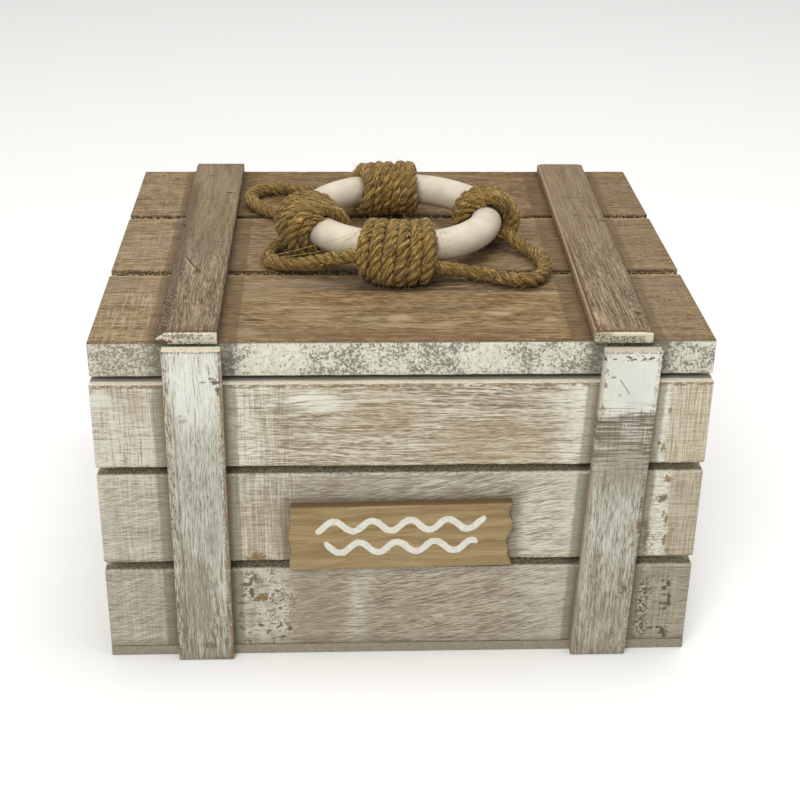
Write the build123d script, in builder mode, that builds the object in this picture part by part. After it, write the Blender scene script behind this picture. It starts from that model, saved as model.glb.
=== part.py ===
from build123d import *
import math
import os

os.makedirs("parts", exist_ok=True)

# ---------------------------------------------------------------- driving dimensions (mm)
# Frame: +X to the right of the chest, -Y its front, +Z up, origin on the floor
# under the middle of the whole object.
W = 220.0                 # width of body and lid
FRONT = -95.4             # outer face of the front wall
DEPTH = 190.0             # front wall face to back wall face
BACK = FRONT + DEPTH      # outer face of the back wall
T = 13.0                  # thickness of the boards
BOTTOM_T = 3.9            # thickness of the bottom board

# heights of the three courses of wall planks, with open shadow gaps between them
LOW0, LOW1 = 3.9, 38.6
MID0, MID1 = 41.9, 79.1
TOP0, TOP1 = 82.1, 115.4

# tongue and groove that closes each shadow gap behind
TONGUE_IN0, TONGUE_IN1 = 7.0, 11.0   # from the outer face
TONGUE_GRIP = 4.0                    # how far a tongue enters its groove
PLAY = 0.15

# lid
LID0, LID1 = 117.0, 130.0            # underside and top of the lid planks
LID_FRONT = FRONT + 3.0              # the lid is set back from the front wall
LP_F1 = FRONT + 64.4                 # back edge of the front lid plank
LP_M0, LP_M1 = FRONT + 68.8, FRONT + 127.2
LP_R0 = FRONT + 131.0
LTZ0, LTZ1 = 119.2, 123.2            # height of the lid planks' tongues

# battens
BAT_T = 4.0

# corner posts inside
POST = 14.0
POST_TOP = 112.0

# life ring lying on the lid
RX, RY, RZ = 1.9, FRONT + 97.5, 141.6
RING_R, RING_r = 35.0, 6.2
WRAP_A, WRAP_B = 14.2, 11.5          # half width and half height of a rope wrap
ROPE_D = 5.8

# hinges
HINGE_X = 45.0
AX_Y, AX_Z = BACK + 2.1, 116.2       # hinge axis
BARREL_R, PIN_R, BORE_R = 1.8, 0.95, 1.0
LEAF_T, LEAF_W = 0.9, 24.0

IN_X = W / 2 - T                     # inner faces of the side walls
IN_F, IN_B = FRONT + T, BACK - T     # inner faces of the front and back walls

courses = {"lower": (LOW0, LOW1), "middle": (MID0, MID1), "upper": (TOP0, TOP1)}


def save(builder, name):
    builder.part.label = name
    export_step(builder.part, f"parts/{name}.step")


def plank_section(out, sign, z0, z1, z_next, grooved):
    """Section of a wall plank, in a plane whose second axis is the height. out is the place
    of the outer face and sign is the way in from it. The top edge carries a tongue when
    another plank follows at z_next, and the bottom edge a groove when one is below."""
    t0, t1 = out + sign * TONGUE_IN0, out + sign * TONGUE_IN1
    g0, g1 = t0 - sign * PLAY, t1 + sign * PLAY
    inner = out + sign * T
    pts = [(out, z0)]
    if grooved:
        pts += [(g0, z0), (g0, z0 + TONGUE_GRIP + 0.4), (g1, z0 + TONGUE_GRIP + 0.4), (g1, z0)]
    pts += [(inner, z0), (inner, z1)]
    if z_next is not None:
        pts += [(t1, z1), (t1, z_next + TONGUE_GRIP), (t0, z_next + TONGUE_GRIP), (t0, z1)]
    pts += [(out, z1)]
    return pts


def drill(origin, direction, radius, depth):
    """Drill a round hole in the piece being made."""
    with Locations(Location(Plane(origin=origin, z_dir=direction))):
        Cylinder(radius, depth, align=(Align.CENTER, Align.CENTER, Align.MIN), mode=Mode.SUBTRACT)


def sink(origin, direction, r_head, r_shank, depth):
    """Countersink for a screw head whose face is at origin."""
    with Locations(Location(Plane(origin=origin, z_dir=direction))):
        Cone(r_head, r_shank, depth, align=(Align.CENTER, Align.CENTER, Align.MIN), mode=Mode.SUBTRACT)


def screw(origin, direction, r_head, r_shank, head_h, length, slot=0.5):
    """A countersunk wood screw with a slotted head, its head's face at origin."""
    pl = Plane(origin=origin, z_dir=direction)
    with Locations(Location(pl)):
        Cone(r_head, r_shank, head_h, align=(Align.CENTER, Align.CENTER, Align.MIN))
    with Locations(Location(pl.offset(head_h - 0.02))):
        Cylinder(r_shank, length - head_h - 1.6, align=(Align.CENTER, Align.CENTER, Align.MIN))
    with Locations(Location(pl.offset(length - 1.64))):
        Cone(r_shank, 0.15, 1.64, align=(Align.CENTER, Align.CENTER, Align.MIN))
    with Locations(Location(pl)):
        Box(2.4 * r_head, slot, 0.8, align=(Align.CENTER, Align.CENTER, Align.CENTER), mode=Mode.SUBTRACT)


# ---------------------------------------------------------------- where the fasteners go
# each corner post is screwed from inside to the front or back planks and to the side planks
post_screw_yz = []        # along Y, into front and back planks
post_screw_xz = []        # along X, into side planks
for z0, z1 in courses.values():
    zm = (z0 + z1) / 2
    for sx in (-1, 1):
        for y_face, sy in ((IN_F, -1), (IN_B, 1)):
            post_screw_yz.append(((sx * (IN_X - 9.0), y_face - sy * POST, zm + 4.0), (0, sy, 0)))
            post_screw_xz.append(((sx * (IN_X - POST), y_face - sy * 9.0, zm - 4.0), (sx, 0, 0)))
PS_HEAD, PS_SHANK, PS_H, PS_LEN = 2.5, 1.25, 1.5, 21.0

# nails through the bottom board into the lowest planks
bottom_nails_at = [(x, y) for x in (-70.0, 0.0, 70.0) for y in (FRONT + 6.5, BACK - 6.5)]
bottom_nails_at += [(x, y) for x in (-W / 2 + 6.5, W / 2 - 6.5) for y in (-35.0, 35.0)]
NAIL_R, NAIL_HEAD_R, NAIL_HEAD_H, NAIL_LEN = 0.8, 1.8, 0.7, 16.0

# screws through the lid cleats into the lid planks
CLEAT_X = 75.0
CLEAT_W, CLEAT_T = 18.0, 8.0
CLEAT_Y0, CLEAT_Y1 = -64.0, 64.0
cleat_screw_y = [-56.0, -40.0, -14.0, 14.0, 44.0, 57.0]

# screws of the hinge leaves
leaf_screw_x = [-7.5, 7.5]
BODY_SCREW_Z, LID_SCREW_Z = AX_Z - 8.0, AX_Z + 7.4


# ---------------------------------------------------------------- bottom board
with BuildPart() as bottom_board:
    with BuildSketch(Plane.XY):
        with Locations((0, (FRONT + BACK) / 2)):
            Rectangle(W, DEPTH)
    extrude(amount=BOTTOM_T)
    for x, y in bottom_nails_at:
        drill((x, y, -0.1), (0, 0, 1), NAIL_R, BOTTOM_T + 1)
        drill((x, y, -0.1), (0, 0, 1), NAIL_HEAD_R, NAIL_HEAD_H + 0.2)
save(bottom_board, "bottom_board")

# ---------------------------------------------------------------- front and back planks, full width
for wall, out, sign in (("front", FRONT, 1), ("back", BACK, -1)):
    for i, (course, (z0, z1)) in enumerate(courses.items()):
        nxt = (MID0, TOP0, None)[i]
        with BuildPart() as plank:
            with BuildSketch(Plane.YZ.offset(-W / 2)):
                with BuildLine():
                    Polyline(*plank_section(out, sign, z0, z1, nxt, i > 0), close=True)
                make_face()
            extrude(amount=W)
            for (x, y, z), d in post_screw_yz:
                if z0 < z < z1 and d[1] == -sign:
                    drill((x, y, z), d, PS_SHANK, PS_LEN)
            if i == 0:
                for x, y in bottom_nails_at:
                    if abs(y - (out + sign * 6.5)) < 0.1:
                        drill((x, y, 0), (0, 0, 1), NAIL_R, NAIL_LEN)
            if i == 2 and wall == "back":
                for hx in (-HINGE_X, HINGE_X):
                    for sx in leaf_screw_x:
                        drill((hx + sx, BACK + 0.1, BODY_SCREW_Z), (0, -1, 0), 0.9, 8.4)
        save(plank, f"{wall}_plank_{course}")

# ---------------------------------------------------------------- side planks, between front and back
for wall, out, sign in (("left", -W / 2, 1), ("right", W / 2, -1)):
    for i, (course, (z0, z1)) in enumerate(courses.items()):
        nxt = (MID0, TOP0, None)[i]
        with BuildPart() as plank:
            with BuildSketch(Plane.XZ.offset(-IN_F)):
                with BuildLine():
                    Polyline(*plank_section(out, sign, z0, z1, nxt, i > 0), close=True)
                make_face()
            extrude(amount=-(IN_B - IN_F))
            for (x, y, z), d in post_screw_xz:
                if z0 < z < z1 and d[0] == -sign:
                    drill((x, y, z), d, PS_SHANK, PS_LEN)
            if i == 0:
                for x, y in bottom_nails_at:
                    if abs(x - (out + sign * 6.5)) < 0.1:
                        drill((x, y, 0), (0, 0, 1), NAIL_R, NAIL_LEN)
        save(plank, f"{wall}_side_plank_{course}")

# ---------------------------------------------------------------- corner posts
for fb, y_face, sy in (("front", IN_F, -1), ("back", IN_B, 1)):
    for lr, sx in (("left", -1), ("right", 1)):
        with BuildPart() as corner_post:
            with BuildSketch(Plane.XY.offset(BOTTOM_T)):
                with Locations((sx * (IN_X - POST / 2), y_face - sy * POST / 2)):
                    Rectangle(POST, POST)
            extrude(amount=POST_TOP - BOTTOM_T)
            inner = corner_post.edges().filter_by(Axis.Z).sort_by(
                lambda e: math.hypot(e.center().X, e.center().Y))[0]
            chamfer(inner, 1.2)
            for (p, d) in post_screw_yz + post_screw_xz:
                if p[0] * sx > 0 and (p[1] - (FRONT + BACK) / 2) * sy > 0:
                    drill(p, d, PS_SHANK, PS_LEN)
                    sink(p, d, PS_HEAD, PS_SHANK, PS_H)
        save(corner_post, f"corner_post_{fb}_{lr}")

with BuildPart() as post_screws:
    for p, d in post_screw_yz + post_screw_xz:
        screw(p, d, PS_HEAD, PS_SHANK, PS_H, PS_LEN)
save(post_screws, "post_screws")

with BuildPart() as bottom_nails:
    for x, y in bottom_nails_at:
        with Locations((x, y, 0.05)):
            Cylinder(NAIL_HEAD_R, NAIL_HEAD_H, align=(Align.CENTER, Align.CENTER, Align.MIN))
        with Locations((x, y, 0.05 + NAIL_HEAD_H - 0.02)):
            Cylinder(NAIL_R, NAIL_LEN - NAIL_HEAD_H - 1.4, align=(Align.CENTER, Align.CENTER, Align.MIN))
save(bottom_nails, "bottom_nails")

# ---------------------------------------------------------------- battens on the body
with BuildPart() as front_batten_left:
    with BuildSketch(Plane.XZ.offset(-FRONT)):
        with BuildLine():
            Polyline((-84.2, 0), (-63.3, 0), (-63.4, 130.0), (-84.0, 130.0), close=True)
        make_face()
    extrude(amount=BAT_T)
save(front_batten_left, "front_batten_left")

with BuildPart() as front_batten_right:
    # nailed on slightly out of plumb
    with BuildSketch(Plane.XZ.offset(-FRONT)):
        with BuildLine():
            Polyline((65.6, 0), (86.7, 0), (89.9, 129.1), (69.5, 129.1), close=True)
        make_face()
    extrude(amount=BAT_T)
save(front_batten_right, "front_batten_right")

with BuildPart() as back_batten_left:
    with BuildSketch(Plane.XZ.offset(-BACK)):
        with Locations((-74.0, 57.5)):
            Rectangle(20.6, 115.0)
    extrude(amount=-BAT_T)
save(back_batten_left, "back_batten_left")

with BuildPart() as back_batten_right:
    with BuildSketch(Plane.XZ.offset(-BACK)):
        with Locations((76.0, 57.5)):
            Rectangle(20.6, 115.0)
    extrude(amount=-BAT_T)
save(back_batten_right, "back_batten_right")

# ---------------------------------------------------------------- sign board on the front
SIGN_X, SIGN_Z, SIGN_W, SIGN_H, SIGN_T, SIGN_TILT = -0.4, 53.8, 82.6, 27.2, 3.0, 0.95
with BuildPart() as sign_board:
    with BuildSketch(Plane.XZ.offset(-FRONT)):
        with Locations(Location((SIGN_X, SIGN_Z, 0), (0, 0, SIGN_TILT))):
            Rectangle(SIGN_W, SIGN_H)
    extrude(amount=SIGN_T)
save(sign_board, "sign_board")

# ---------------------------------------------------------------- lid planks
LTY = 4.0                 # grip of a lid tongue
with BuildPart() as lid_plank_front:
    with BuildSketch(Plane.YZ.offset(-W / 2)):
        with BuildLine():
            Polyline((LID_FRONT, LID0), (LP_F1, LID0), (LP_F1, LTZ0 - PLAY), (LP_F1 - LTY - 0.4, LTZ0 - PLAY),
                     (LP_F1 - LTY - 0.4, LTZ1 + PLAY), (LP_F1, LTZ1 + PLAY), (LP_F1, LID1),
                     (LID_FRONT, LID1), close=True)
        make_face()
    extrude(amount=W)
    for sx in (-1, 1):
        for y in cleat_screw_y[:2]:
            drill((sx * CLEAT_X, y, LID0 - 0.1), (0, 0, 1), PS_SHANK, 9.2)
save(lid_plank_front, "lid_plank_front")

with BuildPart() as lid_plank_middle:
    with BuildSketch(Plane.YZ.offset(-W / 2)):
        with BuildLine():
            Polyline((LP_M0, LID0), (LP_M1, LID0), (LP_M1, LTZ0 - PLAY), (LP_M1 - LTY - 0.4, LTZ0 - PLAY),
                     (LP_M1 - LTY - 0.4, LTZ1 + PLAY), (LP_M1, LTZ1 + PLAY), (LP_M1, LID1), (LP_M0, LID1),
                     (LP_M0, LTZ1), (LP_F1 - LTY, LTZ1), (LP_F1 - LTY, LTZ0), (LP_M0, LTZ0), close=True)
        make_face()
    extrude(amount=W)
    for sx in (-1, 1):
        for y in cleat_screw_y[2:4]:
            drill((sx * CLEAT_X, y, LID0 - 0.1), (0, 0, 1), PS_SHANK, 9.2)
save(lid_plank_middle, "lid_plank_middle")

with BuildPart() as lid_plank_rear:
    with BuildSketch(Plane.YZ.offset(-W / 2)):
        with BuildLine():
            Polyline((LP_R0, LID0), (BACK, LID0), (BACK, LID1), (LP_R0, LID1),
                     (LP_R0, LTZ1), (LP_M1 - LTY, LTZ1), (LP_M1 - LTY, LTZ0), (LP_R0, LTZ0), close=True)
        make_face()
    extrude(amount=W)
    for sx in (-1, 1):
        for y in cleat_screw_y[4:]:
            drill((sx * CLEAT_X, y, LID0 - 0.1), (0, 0, 1), PS_SHANK, 9.2)
    for hx in (-HINGE_X, HINGE_X):
        for sx in leaf_screw_x:
            drill((hx + sx, BACK + 0.1, LID_SCREW_Z), (0, -1, 0), 0.9, 8.4)
save(lid_plank_rear, "lid_plank_rear")

# ---------------------------------------------------------------- battens on top of the lid
with BuildPart() as lid_batten_left:
    with BuildSketch(Plane.XY.offset(LID1)):
        with BuildLine():
            Polyline((-86.3, FRONT + 1.2), (-64.9, FRONT + 1.2), (-64.7, FRONT + 189.0), (-86.2, FRONT + 189.0),
                     close=True)
        make_face()
    extrude(amount=4.2)
save(lid_batten_left, "lid_batten_left")

with BuildPart() as lid_batten_right:
    with BuildSketch(Plane.XY.offset(LID1)):
        with BuildLine():
            Polyline((66.2, FRONT + 0.4), (86.9, FRONT + 0.4), (90.2, FRONT + 189.0), (69.5, FRONT + 189.0),
                     close=True)
        make_face()
    extrude(amount=4.0)
save(lid_batten_right, "lid_batten_right")

# ---------------------------------------------------------------- cleats under the lid
for lr, sx in (("left", -1), ("right", 1)):
    with BuildPart() as lid_cleat:
        with BuildSketch(Plane.XY.offset(LID0 - CLEAT_T)):
            with Locations((sx * CLEAT_X, (CLEAT_Y0 + CLEAT_Y1) / 2)):
                Rectangle(CLEAT_W, CLEAT_Y1 - CLEAT_Y0)
        extrude(amount=CLEAT_T)
        chamfer(lid_cleat.faces().sort_by(Axis.Z)[0].edges(), 1.0)
        for y in cleat_screw_y:
            drill((sx * CLEAT_X, y, LID0 - CLEAT_T), (0, 0, 1), PS_SHANK, CLEAT_T + 1)
            sink((sx * CLEAT_X, y, LID0 - CLEAT_T), (0, 0, 1), PS_HEAD, PS_SHANK, PS_H)
    save(lid_cleat, f"lid_cleat_{lr}")

with BuildPart() as lid_cleat_screws:
    for sx in (-1, 1):
        for y in cleat_screw_y:
            screw((sx * CLEAT_X, y, LID0 - CLEAT_T), (0, 0, 1), PS_HEAD, PS_SHANK, PS_H, CLEAT_T + 9.0)
save(lid_cleat_screws, "lid_cleat_screws")

# ---------------------------------------------------------------- hinges
# body leaf: two outer knuckles, lid leaf: one middle knuckle with a stop lug
K = 4.0                   # half length of the middle knuckle
GAP = 0.15                # end play between knuckles
for lr, hx in (("left", -HINGE_X), ("right", HINGE_X)):
    with BuildPart() as body_leaf:
        with BuildSketch(Plane.XZ.offset(-BACK)):
            with Locations((hx, (AX_Z - 13.0 + AX_Z - 2.2) / 2)):
                RectangleRounded(LEAF_W, 10.8, 1.0)
            for s in (-1, 1):
                with Locations((hx + s * (K + GAP + LEAF_W / 2) / 2, AX_Z - 1.9)):
                    Rectangle(LEAF_W / 2 - K - GAP, 2.6)
        extrude(amount=-LEAF_T)
        for s in (-1, 1):
            x0 = hx + (K + GAP if s > 0 else -LEAF_W / 2)
            with BuildSketch(Plane.YZ.offset(x0)):
                with Locations((AX_Y, AX_Z)):
                    Circle(BARREL_R)
            extrude(amount=LEAF_W / 2 - K - GAP)
        drill((hx - LEAF_W, AX_Y, AX_Z), (1, 0, 0), PIN_R, 2 * LEAF_W)
        for sx in leaf_screw_x:
            drill((hx + sx, BACK + LEAF_T + 0.1, BODY_SCREW_Z), (0, -1, 0), 0.95, 2.0)
            sink((hx + sx, BACK + LEAF_T, BODY_SCREW_Z), (0, -1, 0), 1.9, 0.95, 0.9)
    save(body_leaf, f"hinge_{lr}_body_leaf")

    with BuildPart() as lid_leaf:
        with BuildSketch(Plane.XZ.offset(-BACK)):
            with Locations((hx, AX_Z + 7.4)):
                RectangleRounded(LEAF_W, 10.4, 1.0)
            with Locations((hx, AX_Z + 1.9)):
                Rectangle(2 * (K - GAP), 2.6)
        extrude(amount=-LEAF_T)
        with BuildSketch(Plane.YZ.offset(hx - K + GAP)):
            with Locations((AX_Y, AX_Z)):
                Circle(BARREL_R)
            with BuildLine():
                Polyline((AX_Y + 1.36, AX_Z - 0.26), (AX_Y + 2.68, AX_Z - 0.34), (AX_Y + 2.68, AX_Z + 0.9),
                         (AX_Y + 1.3, AX_Z + 1.1), close=True)
            make_face()
        extrude(amount=2 * (K - GAP))
        drill((hx - LEAF_W, AX_Y, AX_Z), (1, 0, 0), BORE_R, 2 * LEAF_W)
        for sx in leaf_screw_x:
            drill((hx + sx, BACK + LEAF_T + 0.1, LID_SCREW_Z), (0, -1, 0), 0.95, 2.0)
            sink((hx + sx, BACK + LEAF_T, LID_SCREW_Z), (0, -1, 0), 1.9, 0.95, 0.9)
    save(lid_leaf, f"hinge_{lr}_lid_leaf")

    with BuildPart() as hinge_pin:
        with BuildSketch(Plane.YZ.offset(hx - LEAF_W / 2)):
            with Locations((AX_Y, AX_Z)):
                Circle(PIN_R)
        extrude(amount=LEAF_W)
        for x in (hx - LEAF_W / 2 - 0.6, hx + LEAF_W / 2):
            with BuildSketch(Plane.YZ.offset(x)):
                with Locations((AX_Y, AX_Z)):
                    Circle(1.35)
            extrude(amount=0.6)
    save(hinge_pin, f"hinge_{lr}_pin")

with BuildPart() as hinge_screws_body:
    for hx in (-HINGE_X, HINGE_X):
        for sx in leaf_screw_x:
            screw((hx + sx, BACK + LEAF_T, BODY_SCREW_Z), (0, -1, 0), 1.85, 0.88, 0.86, 8.4, slot=0.4)
save(hinge_screws_body, "hinge_screws_body")

with BuildPart() as hinge_screws_lid:
    for hx in (-HINGE_X, HINGE_X):
        for sx in leaf_screw_x:
            screw((hx + sx, BACK + LEAF_T, LID_SCREW_Z), (0, -1, 0), 1.85, 0.88, 0.86, 8.4, slot=0.4)
save(hinge_screws_lid, "hinge_screws_lid")

# ---------------------------------------------------------------- life ring and its rope wraps
with BuildPart() as life_ring:
    with BuildSketch(Plane.XZ.offset(-RY)):
        with Locations((RX + RING_R, RZ)):
            Circle(RING_r)
    revolve(axis=Axis((RX, RY, 0), (0, 0, 1)), revolution_arc=360)
save(life_ring, "life_ring")

# start angle, span, how far the turns hang outwards of the tube
wraps = {
    "front": (-117.5, 48.5, 1.2),
    "right": (-12.5, 27.0, 0.2),
    "back": (74.0, 45.0, 0.0),
    "left": (176.0, 28.0, 0.4),
}
wrap_solids = {}
for side, (start, span, lean) in wraps.items():
    a = math.radians(start)
    section = Plane(origin=(RX, RY, 0), x_dir=(math.cos(a), math.sin(a), 0),
                    z_dir=(math.sin(a), -math.cos(a), 0))
    with BuildPart() as rope_wrap:
        with BuildSketch(section):
            with Locations((RING_R + lean, RZ)):
                Ellipse(WRAP_A, WRAP_B)
            with Locations((RING_R, RZ)):
                Circle(RING_r + 0.02, mode=Mode.SUBTRACT)
        revolve(axis=Axis((RX, RY, 0), (0, 0, 1)), revolution_arc=span)
    wrap_solids[side] = rope_wrap.part
    save(rope_wrap, f"rope_wrap_{side}")

# ---------------------------------------------------------------- slack loops of the rope, on the lid
# control points of each route, from one wrap to the next
ROPE_Z = 133.1
loop_right = [
    (9.0, FRONT + 54.6, 137.6), (13.6, FRONT + 54.8, 136.6), (19.4, FRONT + 56.6, 135.2),
    (25.5, FRONT + 58.0, 133.9), (31.6, FRONT + 57.4, 133.2), (37.4, FRONT + 54.2, ROPE_Z),
    (43.2, FRONT + 51.4, ROPE_Z), (49.2, FRONT + 50.6, ROPE_Z), (54.2, FRONT + 54.4, ROPE_Z),
    (56.9, FRONT + 61.4, ROPE_Z), (57.1, FRONT + 69.6, ROPE_Z), (55.2, FRONT + 77.0, ROPE_Z),
    (51.4, FRONT + 83.0, 133.7), (47.6, FRONT + 88.0, 135.0), (45.2, FRONT + 93.0, 136.6),
]
loop_left = [
    (-38.4, FRONT + 92.6, 136.0), (-42.4, FRONT + 90.2, 134.6), (-46.6, FRONT + 86.4, 133.4),
    (-49.8, FRONT + 80.6, ROPE_Z), (-50.2, FRONT + 74.2, ROPE_Z), (-47.2, FRONT + 68.8, ROPE_Z),
    (-41.6, FRONT + 66.4, 133.3), (-35.4, FRONT + 65.4, 134.2), (-28.4, FRONT + 62.8, 136.6),
    (-22.2, FRONT + 58.8, 139.4), (-16.4, FRONT + 55.6, 141.6), (-11.2, FRONT + 54.2, 142.4),
]
loop_back = [
    (-38.6, FRONT + 111.6, 136.0), (-43.0, FRONT + 118.2, 134.2), (-47.8, FRONT + 124.4, 133.3),
    (-53.2, FRONT + 129.6, ROPE_Z), (-58.0, FRONT + 136.6, ROPE_Z), (-60.2, FRONT + 145.2, ROPE_Z),
    (-58.4, FRONT + 152.8, ROPE_Z), (-52.2, FRONT + 156.4, ROPE_Z), (-44.4, FRONT + 156.0, ROPE_Z),
    (-36.6, FRONT + 153.8, ROPE_Z), (-28.8, FRONT + 152.4, ROPE_Z), (-21.4, FRONT + 149.8, 133.2),
    (-15.4, FRONT + 145.2, 134.0), (-11.4, FRONT + 139.6, 135.4),
]


def arc_radii(points):
    """Radius of each arc: 0.45 of the shorter run over the tangent of half the turn."""
    v = [Vector(*p) for p in points]
    out = []
    for a, b, c in zip(v, v[1:], v[2:]):
        turn = math.radians((b - a).get_angle(c - b))
        out.append(0.45 * min((b - a).length, (c - b).length) / math.tan(turn / 2))
    return out


for name, route, ends in (("rope_loop_right", loop_right, ("front", "right")),
                          ("rope_loop_left", loop_left, ("left", "front")),
                          ("rope_loop_back", loop_back, ("left", "back"))):
    radii = arc_radii(route)
    with BuildPart() as rope_loop:
        with BuildLine() as run:
            FilletPolyline(*route, radius=radii)
        with BuildSketch(Plane(origin=route[0], z_dir=Vector(*route[1]) - Vector(*route[0]))):
            Circle(ROPE_D / 2)
        sweep(path=run.wire())
        full = rope_loop.part.volume
        for e in ends:
            add(wrap_solids[e], mode=Mode.SUBTRACT)
    length = run.wire().length
    print(name, "length %.1f mm" % length, "volume / (section x length) %.3f" % (
        full / (math.pi * (ROPE_D / 2) ** 2 * length)), "solids", len(rope_loop.part.solids()),
        "radii", [round(r, 1) for r in radii])
    save(rope_loop, name)
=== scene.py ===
import bpy
import bmesh
import math
import random
from mathutils import Matrix, Vector, noise


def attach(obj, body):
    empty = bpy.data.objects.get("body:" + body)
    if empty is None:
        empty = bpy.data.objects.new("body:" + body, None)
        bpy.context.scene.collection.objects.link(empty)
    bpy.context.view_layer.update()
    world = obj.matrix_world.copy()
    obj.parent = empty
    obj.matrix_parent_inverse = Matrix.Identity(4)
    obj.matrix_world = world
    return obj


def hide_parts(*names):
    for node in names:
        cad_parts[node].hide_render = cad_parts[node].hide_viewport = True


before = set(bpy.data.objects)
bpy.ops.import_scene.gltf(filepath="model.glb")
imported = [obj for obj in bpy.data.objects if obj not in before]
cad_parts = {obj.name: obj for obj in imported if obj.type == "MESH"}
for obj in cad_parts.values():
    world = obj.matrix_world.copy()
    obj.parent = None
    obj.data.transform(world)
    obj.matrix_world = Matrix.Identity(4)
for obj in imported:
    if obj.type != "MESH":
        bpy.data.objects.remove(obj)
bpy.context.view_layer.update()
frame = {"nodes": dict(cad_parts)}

random.seed(7)
MM = 0.001
F = -95.4            # outer face of the front wall, mm
BACK = 94.6

# ------------------------------------------------------------------ camera
rx, ry, rz = 0.4710, 0.0495, 0.0159
fwd = Vector((math.sin(ry) * math.cos(rx), math.cos(ry) * math.cos(rx), -math.sin(rx)))
r0 = Vector((math.cos(ry), -math.sin(ry), 0.0))
u0 = r0.cross(fwd)
right = math.cos(rz) * r0 + math.sin(rz) * u0
up = -math.sin(rz) * r0 + math.cos(rz) * u0
cam_data = bpy.data.cameras.new("camera")
cam_data.sensor_width = 36.0
cam_data.lens = 66.594
cam_data.clip_start = 0.01
cam = bpy.data.objects.new("camera", cam_data)
bpy.context.scene.collection.objects.link(cam)
m = Matrix.Identity(4)
for i in range(3):
    m[i][0], m[i][1], m[i][2] = right[i], up[i], -fwd[i]
m[0][3], m[1][3], m[2][3] = -0.02438, -0.56005, 0.34558
cam.matrix_world = m
bpy.context.scene.camera = cam
bpy.context.scene.view_settings.view_transform = "Standard"
bpy.context.scene.view_settings.look = "None"


# ------------------------------------------------------------------ node graphs
class S:
    """A number or vector in a node graph."""

    def __init__(s, g, o):
        s.g, s.o = g, o

    def __add__(a, b): return a.g.math("ADD", a, b)
    def __radd__(a, b): return a.g.math("ADD", b, a)
    def __sub__(a, b): return a.g.math("SUBTRACT", a, b)
    def __rsub__(a, b): return a.g.math("SUBTRACT", b, a)
    def __mul__(a, b): return a.g.math("MULTIPLY", a, b)
    def __rmul__(a, b): return a.g.math("MULTIPLY", b, a)
    def __truediv__(a, b): return a.g.math("DIVIDE", a, b)


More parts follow.
